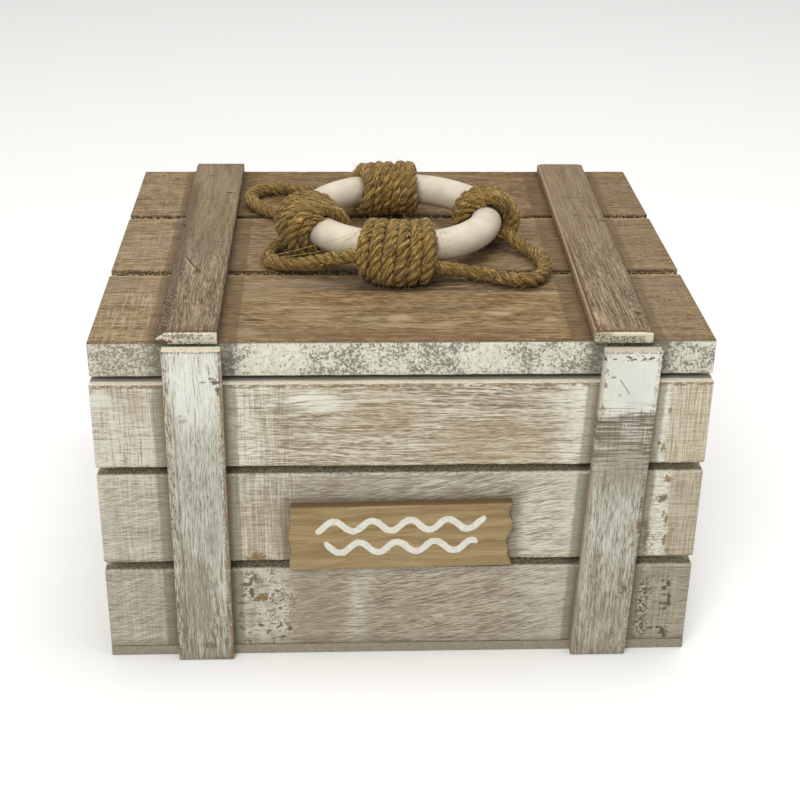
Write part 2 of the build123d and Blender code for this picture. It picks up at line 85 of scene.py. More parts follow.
class Graph:
    """A material whose coordinates x, y, z are the row frame in millimetres."""

    def __init__(g, name, gain=(1, 1, 1)):
        g.gain = gain
        g.mat = bpy.data.materials.new(name)
        g.mat.use_nodes = True
        g.t = g.mat.node_tree
        g.t.nodes.clear()
        out = g.t.nodes.new("ShaderNodeOutputMaterial")
        g.bsdf = g.t.nodes.new("ShaderNodeBsdfPrincipled")
        g.t.links.new(g.bsdf.outputs[0], out.inputs[0])
        tc = g.t.nodes.new("ShaderNodeTexCoord")
        sc = g.t.nodes.new("ShaderNodeVectorMath")
        sc.operation = "SCALE"
        sc.inputs["Scale"].default_value = 1000.0
        g.t.links.new(tc.outputs["Object"], sc.inputs[0])
        g.p = S(g, sc.outputs[0])
        sep = g.t.nodes.new("ShaderNodeSeparateXYZ")
        g.t.links.new(sc.outputs[0], sep.inputs[0])
        g.x, g.y, g.z = (S(g, o) for o in sep.outputs)
        g.tc = tc

    def put(g, socket, v):
        if isinstance(v, S):
            g.t.links.new(v.o, socket)
        elif isinstance(v, (tuple, list)) and len(v) == 3 and socket.type == "RGBA":
            socket.default_value = (*(a * b for a, b in zip(v, g.gain)), 1.0)
        else:
            socket.default_value = v

    def math(g, op, a, b=0.0, c=0.0, clamp=False):
        n = g.t.nodes.new("ShaderNodeMath")
        n.operation = op
        n.use_clamp = clamp
        g.put(n.inputs[0], a)
        g.put(n.inputs[1], b)
        if op in ("MULTIPLY_ADD", "SMOOTH_MIN", "SMOOTH_MAX"):
            g.put(n.inputs[2], c)
        return S(g, n.outputs[0])

    def smooth(g, v, a, b):
        """0 at a and before, 1 at b and after."""
        n = g.t.nodes.new("ShaderNodeMapRange")
        n.interpolation_type = "SMOOTHSTEP"
        g.put(n.inputs[0], v)
        g.put(n.inputs[1], a)
        g.put(n.inputs[2], b)
        return S(g, n.outputs[0])

    def maximum(g, *a):
        r = a[0]
        for b in a[1:]:
            r = g.math("MAXIMUM", r, b)
        return r

    def vec(g, x, y, z):
        n = g.t.nodes.new("ShaderNodeCombineXYZ")
        for s, v in zip(n.inputs, (x, y, z)):
            g.put(s, v)
        return S(g, n.outputs[0])

    def at(g, sx, sy, sz, seed=0.0, src=None):
        n = g.t.nodes.new("ShaderNodeVectorMath")
        n.operation = "MULTIPLY_ADD"
        g.put(n.inputs[0], src or g.p)
        n.inputs[1].default_value = (sx, sy, sz)
        n.inputs[2].default_value = (seed * 3.17, seed * 7.31, seed * 5.77)
        return S(g, n.outputs[0])

    def noise(g, v, scale=1.0, detail=2.0, rough=0.5, dist=0.0):
        n = g.t.nodes.new("ShaderNodeTexNoise")
        g.put(n.inputs["Vector"], v)
        n.inputs["Scale"].default_value = scale
        n.inputs["Detail"].default_value = detail
        n.inputs["Roughness"].default_value = rough
        n.inputs["Distortion"].default_value = dist
        return S(g, n.outputs[0])

    def cells(g, v, scale=1.0, feature="F1"):
        n = g.t.nodes.new("ShaderNodeTexVoronoi")
        n.feature = feature
        g.put(n.inputs["Vector"], v)
        n.inputs["Scale"].default_value = scale
        return S(g, n.outputs[0])

    def mix(g, f, a, b, mode="MIX"):
        n = g.t.nodes.new("ShaderNodeMix")
        n.data_type = "RGBA"
        n.blend_type = mode
        g.put(n.inputs[0], f)
        g.put(n.inputs[6], a)
        g.put(n.inputs[7], b)
        return S(g, n.outputs[2])

    def blob(g, a, b, ca, cb, ra, rb, warp=None, amount=0.5, soft=0.35):
        """1 inside an uneven ellipse round (ca, cb) in the coordinates a, b."""
        d = g.math("SQRT", g.math("ADD",
                   g.math("POWER", (a - ca) * (1.0 / ra), 2.0),
                   g.math("POWER", (b - cb) * (1.0 / rb), 2.0)))
        if warp is not None:
            d = d + (warp - 0.5) * (2 * amount)
        return g.smooth(d, 1.0 + soft, 1.0 - soft)

    def near(g, v, c, half, soft):
        """1 where v is within half of c."""
        return g.smooth(g.math("ABSOLUTE", v - c), half + soft, half)

    def bump(g, h, distance, strength=1.0, on=None):
        n = g.t.nodes.new("ShaderNodeBump")
        n.inputs["Strength"].default_value = strength
        n.inputs["Distance"].default_value = distance * MM
        g.put(n.inputs["Height"], h)
        if on is not None:
            g.put(n.inputs["Normal"], on)
        return S(g, n.outputs[0])

    def done(g, colour, rough=0.8, normal=None, spec=0.3, **kw):
        g.put(g.bsdf.inputs["Base Color"], colour)
        g.put(g.bsdf.inputs["Roughness"], rough)
        g.bsdf.inputs["Specular IOR Level"].default_value = spec
        if normal is not None:
            g.put(g.bsdf.inputs["Normal"], normal)
        for k, v in kw.items():
            g.bsdf.inputs[k.replace("_", " ")].default_value = v
        return g.mat


# ------------------------------------------------------------------ mesh building
def finish_mesh(name, verts, faces, mat, body, nodes=(), uvs=None):
    me = bpy.data.meshes.new(name)
    me.from_pydata([tuple(c * MM for c in v) for v in verts], [], faces)
    if uvs is not None:
        lay = me.uv_layers.new(name="UVMap")
        for p in me.polygons:
            for li, vi in zip(p.loop_indices, p.vertices):
                lay.data[li].uv = uvs[vi]
    bm = bmesh.new()
    bm.from_mesh(me)
    bmesh.ops.recalc_face_normals(bm, faces=bm.faces)
    bm.to_mesh(me)
    bm.free()
    me.polygons.foreach_set("use_smooth", [True] * len(me.polygons))
    me.materials.append(mat)
    ob = bpy.data.objects.new(name, me)
    bpy.context.scene.collection.objects.link(ob)
    if nodes:
        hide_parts(*nodes)
    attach(ob, body)
    return ob


def n3(a, b=0.0, c=0.0):
    return noise.noise(Vector((a, b, c)))


def steps(a, b, s):
    n = max(1, int(round((b - a) / s)))
    return [a + (b - a) * i / n for i in range(n + 1)]


def board_mesh(M, u0, u1, v0, v1, w0, w1, r=0.55, step=2.2, wob=0.1, chips=0.25, seed=0.0, drop=None, endr=None):
    """A sawn board along u, v wide and w thick, w1 its outer face, with worn, slightly
    uneven arrises. Only ever cut inside its nominal size."""
    fn = lambda q: q if callable(q) else (lambda u: q)
    a0, a1, b0, b1 = fn(v0), fn(v1), fn(w0), fn(w1)
    endr = r if endr is None else endr
    us = [(u0, endr), (u0 + endr * 0.3, endr * 0.3), (u0 + endr, 0.0)]
    us += [(u, 0.0) for u in steps(u0 + endr, u1 - endr, step)[1:-1]]
    us += [(u1 - endr, 0.0), (u1 - endr * 0.3, endr * 0.3), (u1, endr)]
    um = (u0 + u1) / 2
    nv = max(2, int((a1(um) - a0(um)) / step))
    nw = max(2, int((b1(um) - b0(um)) / step))
    verts, faces, count = [], [], None
    for u, inset in us:
        lo = a0(u) + inset + wob * (0.5 + 0.9 * n3(u / 17, seed, 1.3))
        hi = a1(u) - inset - wob * (0.5 + 0.9 * n3(u / 17, seed, 4.1))
        bot = b0(u) + inset
        top = b1(u) - inset - wob * 0.3 * (0.5 + n3(u / 23, seed, 8.8))
        ring = []
        corners = ((lo, bot, 1, 1), (hi, bot, -1, 1), (hi, top, -1, -1), (lo, top, 1, -1))
        for k in range(4):
            cv, cw, sv, sw = corners[k]
            rr = r * (0.75 + 0.8 * max(-0.4, n3(u / 6, seed + k * 9.1, 2.2)))
            rr += chips * max(0.0, n3(u / 3.1, seed + k * 5.3, 7.7) - 0.18) * 3.0
            rr = min(rr, (top - bot) * 0.42, (hi - lo) * 0.42)
            ang0 = {0: math.pi, 1: 1.5 * math.pi, 2: 0.0, 3: 0.5 * math.pi}[k]
            for j in range(4):
                t = ang0 + (math.pi / 2) * j / 3
                ring.append((cv + sv * rr + rr * math.cos(t), cw + sw * rr + rr * math.sin(t)))
            nxt = corners[(k + 1) % 4]
            n = nv if k in (0, 2) else nw
            pa = ring[-1]
            rb = r
            pb = ((nxt[0] + nxt[2] * rb, cw) if k in (0, 2) else (cv, nxt[1] + nxt[3] * rb))
            for j in range(1, n):
                f = j / n
                ring.append((pa[0] + (pb[0] - pa[0]) * f, pa[1] + (pb[1] - pa[1]) * f))
        base = len(verts)
        for v, w in ring:
            if drop is not None:
                w -= drop(u, v) * max(0.0, min(1.0, (w - bot) / max(0.01, top - bot)))
            verts.append(M(u, v, w))
        if count is None:
            count = len(ring)
        else:
            for i in range(count):
                j = (i + 1) % count
                faces.append((base - count + i, base - count + j, base + j, base + i))
    faces.append(tuple(range(count))[::-1])
    faces.append(tuple(range(len(verts) - count, len(verts))))
    return verts, faces


def join(*parts):
    verts, faces = [], []
    for v, f in parts:
        b = len(verts)
        verts += v
        faces += [tuple(i + b for i in q) for q in f]
    return verts, faces


def bevel(ob, width, segments=2):
    b = ob.modifiers.new("edges", "BEVEL")
    b.width = width * MM
    b.segments = segments
    b.limit_method = "ANGLE"
    b.angle_limit = math.radians(40)
    b.harden_normals = False
    return b


# ------------------------------------------------------------------ rope
ROPE_D = 5.8
loop_right = [(9.0, 54.6, 137.6), (13.6, 54.8, 136.6), (19.4, 56.6, 135.2), (25.5, 58.0, 133.9), (31.6, 57.4, 133.2),
              (37.4, 54.2, 133.1), (43.2, 51.4, 133.1), (49.2, 50.6, 133.1), (54.2, 54.4, 133.1), (56.9, 61.4, 133.1),
              (57.1, 69.6, 133.1), (55.2, 77.0, 133.1), (51.4, 83.0, 133.7), (47.6, 88.0, 135.0), (45.2, 93.0, 136.6)]
loop_left = [(-38.4, 92.6, 136.0), (-42.4, 90.2, 134.6), (-46.6, 86.4, 133.4), (-49.8, 80.6, 133.1), (-50.2, 74.2, 133.1),
             (-47.2, 68.8, 133.1), (-41.6, 66.4, 133.3), (-35.4, 65.4, 134.2), (-28.4, 62.8, 136.6), (-22.2, 58.8, 139.4),
             (-16.4, 55.6, 141.6), (-11.2, 54.2, 142.4)]
loop_back = [(-38.6, 111.6, 136.0), (-43.0, 118.2, 134.2), (-47.8, 124.4, 133.3), (-53.2, 129.6, 133.1), (-58.0, 136.6, 133.1),
             (-60.2, 145.2, 133.1), (-58.4, 152.8, 133.1), (-52.2, 156.4, 133.1), (-44.4, 156.0, 133.1), (-36.6, 153.8, 133.1),
             (-28.8, 152.4, 133.1), (-21.4, 149.8, 133.2), (-15.4, 145.2, 134.0), (-11.4, 139.6, 135.4)]
routes = {k: [Vector((x, y + F, z)) for x, y, z in v]
          for k, v in (("right", loop_right), ("left", loop_left), ("back", loop_back))}


def rope_material(name, seed, warm=0.0):
    g = Graph(name, (0.56, 0.445, 0.180))
    uv = S(g, g.tc.outputs["UV"])
    # u runs along the strand in mm, v round it once
    yarn = g.noise(g.at(0.20, 13.0, 1.0, seed, uv), 1.0, 3.0, 0.62, 0.4)
    fib = g.noise(g.at(0.55, 24.0, 1.0, seed + 3, uv), 1.0, 3.0, 0.65)
    low = g.noise(g.at(0.11, 0.11, 0.11, seed), 1.0, 2.0)
    hot = g.noise(g.at(0.5, 0.5, 0.5, seed + 9), 1.0, 3.0, 0.6)
    c = g.mix(g.smooth(yarn, 0.36, 0.64), (0.095, 0.058, 0.018), (0.51, 0.375, 0.165))
    # pale and dark fibre streaks: fibre colour, with painted highlights and painted shade
    c = g.mix(g.smooth(fib, 0.54, 0.63) * 0.85, c, (1.30, 1.10, 0.82))
    c = g.mix(g.smooth(fib, 0.47, 0.37) * 0.85, c, (0.035, 0.021, 0.006))
    c = g.mix(g.smooth(low, 0.40, 0.66) * 0.45, c, (0.30, 0.225, 0.085))
    c = g.mix(g.smooth(hot, 0.60, 0.78) * 0.35, c, (0.60, 0.45, 0.22))
    # painted shade: the rope darkens low down towards the lid
    c = g.mix(g.smooth(g.z, 140.0, 131.5) * 0.30, c, (0.10, 0.075, 0.028))
    h = yarn * 0.7 + fib * 0.4
    return g.done(c, 0.75, g.bump(h, 0.60, 1.0), 0.3, Sheen_Weight=0.12, Sheen_Roughness=0.5)


def frames(pts):
    """Tangent, normal and binormal along a line of points, without twist."""
    n = len(pts)
    tan = [(pts[min(i + 1, n - 1)] - pts[max(i - 1, 0)]).normalized() for i in range(n)]
    a = Vector((0, 0, 1)) if abs(tan[0].z) < 0.9 else Vector((1, 0, 0))
    nrm = (a - tan[0] * a.dot(tan[0])).normalized()
    out = []
    for i in range(n):
        nrm = (nrm - tan[i] * nrm.dot(tan[i])).normalized()
        out.append((tan[i], nrm, tan[i].cross(nrm)))
    return out


def resample(pts, step):
    length, acc = [0.0], 0.0
    for a, b in zip(pts, pts[1:]):
        acc += (b - a).length
        length.append(acc)
    n = max(8, int(acc / step))
    out, k = [], 0
    for i in range(n + 1):
        s = acc * i / n
        while k < len(length) - 2 and length[k + 1] < s:
            k += 1
        f = (s - length[k]) / max(1e-9, length[k + 1] - length[k])
        out.append(pts[k].lerp(pts[k + 1], f))
    return out, acc


def strands(pts, d=ROPE_D, lay=11.0, phase=0.0, seed=0.0, sides=12, step=0.6):
    """Three twisted strands round a centreline, as one mesh."""
    pts, total = resample(pts, step)
    fr = frames(pts)
    verts, faces, uvs = [], [], []
    off, rad = 0.25 * d, 0.235 * d
    for s3 in range(3):
        centre = []
        for i, p in enumerate(pts):
            s = total * i / (len(pts) - 1)
            t = phase + 2 * math.pi * (s / lay + s3 / 3) + 0.5 * n3(s / 9, seed, s3)
            _, nn, bb = fr[i]
            o = off * (1 + 0.22 * n3(s / 5, seed + s3 * 3.3, 2.0))
            centre.append(p + nn * (o * math.cos(t)) + bb * (o * math.sin(t)))
        cf = frames(centre)
        base = len(verts)
        for i, c in enumerate(centre):
            s = total * i / (len(pts) - 1)
            end = min(i, len(centre) - 1 - i)
            k = (0.35, 0.75, 0.93)[end] if end < 3 else 1.0
            _, nn, bb = cf[i]
            for j in range(sides):
                a = 2 * math.pi * j / sides + s / lay * 2.2
                r = rad * k * (1 + 0.20 * n3(s / 1.7, math.cos(a) * 1.6 + seed, math.sin(a) * 1.6 + s3))
                verts.append(c + nn * (r * math.cos(a)) + bb * (r * math.sin(a)))
                uvs.append((s + s3 * 37.0 + seed * 11.0, j / sides + s * 0.045))
        n = len(centre)
        for i in range(n - 1):
            for j in range(sides):
                a, b = base + i * sides + j, base + i * sides + (j + 1) % sides
                faces.append((a, b, b + sides, a + sides))
        faces.append(tuple(range(base, base + sides))[::-1])
        faces.append(tuple(range(base + (n - 1) * sides, base + n * sides)))
    return verts, faces, uvs


def hairs(paths, count, rnd, reach=2.9, longest=6.0, keep=None, thick=0.08, rise=(0.25, 1.0)):
    """Loose fibres that stand out of rope centrelines, as thin three-sided tubes."""
    verts, faces, uvs = [], [], []
    frs = [frames(p) for p in paths]
    sizes = [len(p) for p in paths]
    made = 0
    while made < count:
        k = rnd.choices(range(len(paths)), weights=sizes)[0]
        i = rnd.randrange(1, sizes[k] - 1)
        t, nn, bb = frs[k][i]
        a = rnd.uniform(0, 2 * math.pi)
        out = nn * math.cos(a) + bb * math.sin(a)
        p = paths[k][i] + out * (reach * 0.8)
        if keep is not None and not keep(p):
            continue
        made += 1
        L = min(longest, 1.3 + rnd.expovariate(1 / 1.7))
        d = (out * rnd.uniform(*rise) + t * rnd.choice((-1, 1)) * rnd.uniform(0.6, 1.5)
             + Vector((rnd.uniform(-0.4, 0.4), rnd.uniform(-0.4, 0.4), rnd.uniform(-0.3, 0.3)))).normalized()
        curl = Vector((rnd.uniform(-1, 1), rnd.uniform(-1, 1), rnd.uniform(-1.2, 0.6))) * 0.35
        rad = thick * rnd.uniform(0.6, 1.3)
        line, q = [], p.copy()
        for s in range(6):
            line.append(q.copy())
            q = q + d * (L / 5)
            d = (d + curl * 0.4).normalized()
            if q.z < 130.3:
                q.z = 130.3
        add_fibre(verts, faces, uvs, line, rad)
    return verts, faces, uvs


def add_fibre(verts, faces, uvs, line, rad):
    fr = frames(line)
    base, n = len(verts), len(line)
    for i, p in enumerate(line):
        r = rad * (1.0 - 0.75 * i / (n - 1))
        _, nn, bb = fr[i]
        for j in range(3):
            a = 2 * math.pi * j / 3
            verts.append(p + nn * (r * math.cos(a)) + bb * (r * math.sin(a)))
            uvs.append((i * 0.8 + base, j / 3))
    for i in range(n - 1):
        for j in range(3):
            a, b = base + i * 3 + j, base + i * 3 + (j + 1) % 3
            faces.append((a, b, b + 3, a + 3))
    faces.append((base + 2, base + 1, base))
    faces.append((base + 3 * n - 3, base + 3 * n - 2, base + 3 * n - 1))


rope_mat = rope_material("jute", 1.0)
g = Graph("jute_fibre", (0.81, 0.69, 0.42))
fn_ = g.noise(g.at(0.7, 0.7, 0.7, 5.0), 1.0, 2.0)
fibre_mat = g.done(g.mix(g.smooth(fn_, 0.35, 0.65), (0.30, 0.205, 0.085), (0.66, 0.52, 0.29)), 0.7, None, 0.3)

# the three slack loops, each a cord of its own
loop_lines = {}
for name, pts in routes.items():
    cu = bpy.data.curves.new("route_" + name, "CURVE")
    cu.dimensions = "3D"
    sp = cu.splines.new("NURBS")
    sp.points.add(len(pts) - 1)
    for q, p in zip(sp.points, pts):
        q.co = (*p, 1.0)
    sp.order_u = 3
    sp.use_endpoint_u = True
    sp.resolution_u = 12
    ob = bpy.data.objects.new("route_" + name, cu)
    bpy.context.scene.collection.objects.link(ob)
    dg = bpy.context.evaluated_depsgraph_get()
    me = bpy.data.meshes.new_from_object(ob.evaluated_get(dg))
    line = [v.co.copy() for v in me.vertices]
    bpy.data.meshes.remove(me)
    bpy.data.objects.remove(ob)
    line, total = resample(line, 0.8)
    loop_lines[name] = line
    v, f, uv = strands(line, phase={"right": 0.4, "left": 1.7, "back": 2.9}[name], seed={"right": 1, "left": 2, "back": 3}[name])
    piece = finish_mesh("rope_loop_" + name + "_strands", v, f, rope_mat, "lid", ["rope_loop_" + name], uv)
    [c * MM for c in line[0]]
    total * MM
    [[c * MM for c in p] for p in line]

# ------------------------------------------------------------------ stage and light
floor_g = Graph("floor")
floor_mat = floor_g.done((0.86, 0.86, 0.85), 0.9, None, 0.1)
me = bpy.data.meshes.new("floor")
me.from_pydata([(-4, -4, -0.0002), (4, -4, -0.0002), (4, 4, -0.0002), (-4, 4, -0.0002)], [], [(0, 1, 2, 3)])
me.materials.append(floor_mat)
floor = bpy.data.objects.new("floor", me)
bpy.context.scene.collection.objects.link(floor)

world = bpy.data.worlds.new("studio")
bpy.context.scene.world = world
world.use_nodes = True
world.node_tree.nodes["Background"].inputs[0].default_value = (1.0, 0.995, 0.985, 1)
world.node_tree.nodes["Background"].inputs[1].default_value = 0.62


def area(name, loc, target, size, power, colour=(1, 1, 1)):
    d = bpy.data.lights.new(name, "AREA")
    d.shape = "DISK"
    d.size = size
    d.energy = power
    d.color = colour
    o = bpy.data.objects.new(name, d)
    o.location = loc
    o.rotation_euler = (Vector(target) - Vector(loc)).to_track_quat("-Z", "Y").to_euler()
    bpy.context.scene.collection.objects.link(o)
    return o


area("key", (-0.45, -1.1, 1.25), (0, 0, 0.08), 0.8, 14.0, (1.0, 0.985, 0.96))
area("overhead", (0.2, 0.1, 1.5), (0, 0, 0.1), 0.9, 10.0)


# ------------------------------------------------------------------ wood materials
def bat_right(g):
    """Distance from the middle of the leaning right front batten."""
    return g.x - (g.z * 0.0272 + 76.1)


def grain(g, axis, seed, lean=0.0, across=1.0):
    """Fine, middle and broad streaks along one axis, with a slow wander across it."""
    wander = g.noise(g.at(*[0.018 if a == axis else 0.05 for a in "XYZ"], seed + 2.0), 1.0, 2.0)
    off = (wander - 0.5) * 5.0
    src = {"X": lambda: g.vec(g.x, g.y + off, g.z + off + (g.x * lean if lean else 0.0)),
           "Y": lambda: g.vec(g.x + off, g.y, g.z + off),
           "Z": lambda: g.vec(g.x + off, g.y + off, g.z)}[axis]()
    k = lambda a, b: [a if c == axis else b * across for c in "XYZ"]
    fine = g.noise(g.at(*k(0.07, 1.5), seed, src), 1.0, 3.0, 0.62)
    mid = g.noise(g.at(*k(0.022, 0.42), seed + 5.0, src), 1.0, 2.0, 0.55, 0.3)
    tiny = g.noise(g.at(*k(0.55, 3.2), seed + 8.0, src), 1.0, 2.0, 0.6)
    g.hair = g.noise(g.at(*k(0.040, 1.9), seed + 11.0, src), 1.0, 2.0, 0.7)
    g.chip = g.noise(g.at(0.75, 0.75, 0.75, seed + 14.0), 1.0, 3.0, 0.7)
    g.pore = g.noise(g.at(*k(0.26, 2.7), seed + 17.0, src), 1.0, 2.0, 0.6)
    return fine, mid, tiny


PAINTS = {
    "upper": ((0.490, 0.462, 0.370), (0.655, 0.640, 0.545), (0.285, 0.215, 0.128), (0.425, 0.350, 0.235)),
    "middle": ((0.405, 0.375, 0.292), (0.550, 0.525, 0.435), (0.250, 0.200, 0.135), (0.375, 0.320, 0.232)),
    "lower": ((0.325, 0.292, 0.220), (0.455, 0.423, 0.335), (0.222, 0.182, 0.124), (0.325, 0.278, 0.200)),
    "wall": ((0.420, 0.388, 0.305), (0.600, 0.575, 0.480), (0.260, 0.205, 0.132), (0.395, 0.330, 0.235)),
}


def paint_wood(name, axis, seed, cover, over=None, raw=None, kind="wall", lean=0.0, bumpy=0.22, crisp=0.2):
    """Brown wood under a worn cream wash. cover(g) is how much paint stays, around 0 to 1."""
    g = Graph(name)
    p_lo, p_hi, w_lo, w_hi = PAINTS[kind]
    fine, mid, tiny = grain(g, axis, seed, lean)
    hair = g.hair
    low = g.noise(g.at(0.035, 0.035, 0.035, seed + 1.0), 1.0, 2.0)
    blot = g.noise(g.at(0.16, 0.16, 0.16, seed + 3.0), 1.0, 3.0, 0.6)
    wood = g.mix(g.smooth(mid, 0.32, 0.68), w_lo, w_hi)
    wood = g.mix(g.smooth(fine, 0.49, 0.38) * 0.55, wood, (0.135, 0.092, 0.050))
    wood = g.mix(g.smooth(fine, 0.53, 0.63) * 0.45, wood, p_lo)
    paint = g.mix(g.smooth(low + (blot - 0.5) * 0.5, 0.35, 0.65), p_lo, p_hi)
    paint = g.mix(g.smooth(fine, 0.47, 0.36) * 0.50, paint, w_hi)
    paint = g.mix(g.smooth(tiny, 0.45, 0.35) * 0.42, paint, w_lo)
    c = cover(g)
    amount = fine * 0.65 + mid * 0.35 + tiny * 0.30 + blot * 0.25 - 0.775 + c
    mask = g.smooth(amount, 0.5 - crisp, 0.5 + crisp)
    col = g.mix(mask, wood, paint)
    # long thin scratches, pale ones and dark ones
    col = g.mix(g.smooth(hair, 0.54, 0.60) * 0.62, col, tuple(min(0.8, v * 1.12) for v in p_hi))
    col = g.mix(g.smooth(hair, 0.455, 0.39) * 0.60, col, (0.145, 0.106, 0.066))
    col = g.mix(g.smooth(g.pore, 0.535, 0.585) * 0.44, col, p_hi)
    col = g.mix(g.smooth(g.pore, 0.465, 0.415) * 0.48, col, (0.160, 0.120, 0.076))
    if over is not None:
        col = over(g, col, dict(fine=fine, mid=mid, tiny=tiny, low=low, mask=mask, blot=blot, hair=hair))
    if raw is not None:
        bare = g.mix(g.smooth(mid, 0.35, 0.65), (0.42, 0.285, 0.155), (0.56, 0.405, 0.245))
        bare = g.mix(g.smooth(fine, 0.46, 0.28) * 0.5, bare, (0.28, 0.18, 0.09))
        col = g.mix(raw(g), col, bare)
    h = fine * 0.5 + tiny * 0.3 + mask * 0.3 + hair * 0.4 + g.pore * 0.2
    return g.done(col, 0.78, g.bump(h, bumpy, 0.9), 0.28)


def batten_shade_bands(g, wl=4.4, wr=3.8):
    """Painted shade on the planks beside the front battens, deepest against them, with a slight darker tint of the
    wood.
    """
    n = g.noise(g.at(0.10, 0.10, 0.22, 40.0), 1.0, 2.0)
    dl = g.math("ABSOLUTE", g.x + 73.75) + (n - 0.5) * 1.6
    dr = g.math("ABSOLUTE", bat_right(g)) + (n - 0.5) * 1.6
    a = g.smooth(dl, 10.4 + wl + 0.7, 10.4 + wl - 0.7) * 0.62 + g.smooth(dl, 10.4 + wl * 0.7, 10.4) * 0.30
    b = g.smooth(dr, 10.4 + wr + 0.7, 10.4 + wr - 0.7) * 0.60 + g.smooth(dr, 10.4 + wr * 0.7, 10.4) * 0.30
    return g.maximum(a, b)


def ledge(g, col, d):
    """The recess between two planks: mottled grey-brown, no paint grain, painted lighter deep inside and with painted
    shade near the battens.
    """
    n = g.noise(g.at(1.1, 1.1, 1.1, 31.0), 1.0, 3.0, 0.7)
    dark = g.mix(g.smooth(n, 0.42, 0.60), (0.095, 0.084, 0.056), (0.260, 0.238, 0.172))
    # painted light: deeper in the recess the colour turns lighter, standing in for light that does not reach so far
    deep = g.mix(g.smooth(n, 0.42, 0.60), (0.300, 0.270, 0.190), (0.720, 0.665, 0.500))
    dark = g.mix(g.smooth(g.y, F + 1.6, F + 5.2), dark, deep)
    # painted shade in the recess near the battens
    dl = g.math("ABSOLUTE", g.x + 73.75)
    dr = g.math("ABSOLUTE", bat_right(g))
    close = g.maximum(g.smooth(dl, 16.5, 11.5), g.smooth(dr, 16.0, 11.5))
    dark = g.mix(close * 0.45, dark, (0.09, 0.072, 0.048))
    inner = g.smooth(g.y, F + 0.5, F + 1.3) * g.smooth(g.z, 115.1, 114.9) * g.smooth(g.math("ABSOLUTE", g.x), 109.75, 109.4)
    col = g.mix(inner, col, dark)
    # the top of the wall keeps its cream paint, crossed a few millimetres in by a grey band of painted shadow from the
    # lid
    cream = g.mix(g.smooth(n, 0.40, 0.60), (0.52, 0.465, 0.365), (0.64, 0.59, 0.485))
    cream = g.mix(g.smooth(g.y + (n - 0.5) * 0.8, F + 2.3, F + 2.9) * g.smooth(g.y + (n - 0.5) * 2.0, F + 6.6, F + 5.2), cream, (0.25, 0.25, 0.21))
    return g.mix(g.smooth(g.z, 115.0, 115.25), col, cream)


def chips(g, col, spots, warp, colour=(0.10, 0.062, 0.022)):
    """Small flaked-off places: (x, z, rx, rz, colour or None)."""
    for x, z, a, b, *rest in spots:
        k = g.blob(g.x, g.z, x, z, a * 0.9, b * 0.9, g.chip, 2.2, 0.35)
        col = g.mix(k * 0.85, col, rest[0] if rest else colour)
    return col


def raw_front(g):
    return g.smooth(g.y, F + 11.0, F + 12.2)


def strokes(g, col, d, x0, x1, seed, strength=0.55, tone=(0.66, 0.64, 0.54), dark=(0.24, 0.18, 0.115)):
    """Upright brush marks across the grain between x0 and x1."""
    v = g.noise(g.at(2.2, 0.5, 0.065, seed), 1.0, 3.0, 0.62)
    w = g.noise(g.at(0.1, 0.1, 0.35, seed + 1), 1.0, 2.0)
    a = g.smooth(g.math("ABSOLUTE", g.x - (x0 + x1) / 2) + (w - 0.5) * 4, (x1 - x0) / 2 + 2.5, (x1 - x0) / 2 - 3.0)
    col = g.mix(a * g.smooth(v, 0.52, 0.61) * strength * 0.9, col, tone)
    return g.mix(a * g.smooth(v, 0.46, 0.38) * strength * 0.85, col, dark)


def hatch(g, col, x0, seed, base=(0.40, 0.315, 0.20)):
    """White lattice of brush bristles on the tan right end."""
    v = g.noise(g.at(2.9, 0.4, 0.09, seed), 1.0, 2.0, 0.6)
    h = g.noise(g.at(0.10, 0.4, 2.7, seed + 2), 1.0, 2.0, 0.6)
    w = g.noise(g.at(0.2, 0.2, 0.2, seed + 4), 1.0, 2.0)
    a = g.smooth(g.x + (w - 0.5) * 2.4, x0, x0 + 1.6)
    col = g.mix(a * 0.62, col, base)
    k = g.maximum(g.smooth(v, 0.49, 0.62), g.smooth(h, 0.52, 0.64) * 0.8)
    col = g.mix(a * k * 0.74, col, (0.64, 0.60, 0.485))
    return g.mix(a * g.maximum(g.smooth(v, 0.46, 0.38), g.smooth(h, 0.45, 0.37)) * 0.5, col, (0.25, 0.185, 0.11))


def diag(g, col, x0, x1, z0, z1, slope, seed, strength=0.5, tone=(0.62, 0.585, 0.49), dark=(0.17, 0.135, 0.095)):
    """Fine slanting scratches, light and dark."""
    q = g.z - g.x * slope
    src = g.vec(g.x, g.y, q)
    v = g.noise(g.at(0.10, 0.3, 1.7, seed, src), 1.0, 4.0, 0.66)
    w = g.noise(g.at(0.07, 0.07, 0.07, seed + 1), 1.0, 1.0)
    a = g.blob(g.x, g.z, (x0 + x1) / 2, (z0 + z1) / 2, (x1 - x0) / 2, (z1 - z0) / 2, w, 0.35, 0.4)
    col = g.mix(a * g.smooth(v, 0.52, 0.61) * strength, col, tone)
    return g.mix(a * g.smooth(v, 0.47, 0.38) * strength * 0.9, col, dark)


# upper front plank
def cover_up(g):
    w = g.noise(g.at(0.06, 0.06, 0.16, 50.0), 1.0, 3.0)
    brown = g.blob(g.x, g.z, 2.0, 97.0, 58.0, 34.0, w, 0.22, 0.20)
    bright = g.blob(g.x, g.z, -30.0, 108.5, 11.0, 4.0, w, 0.6, 0.5)
    right_tan = g.smooth(g.x + (w - 0.5) * 6, 93.5, 96.0)
    top = g.smooth(g.z, 113.0, 115.2)
    return 0.82 - brown * 0.42 + bright * 0.34 - right_tan * 0.20 - top * 0.20


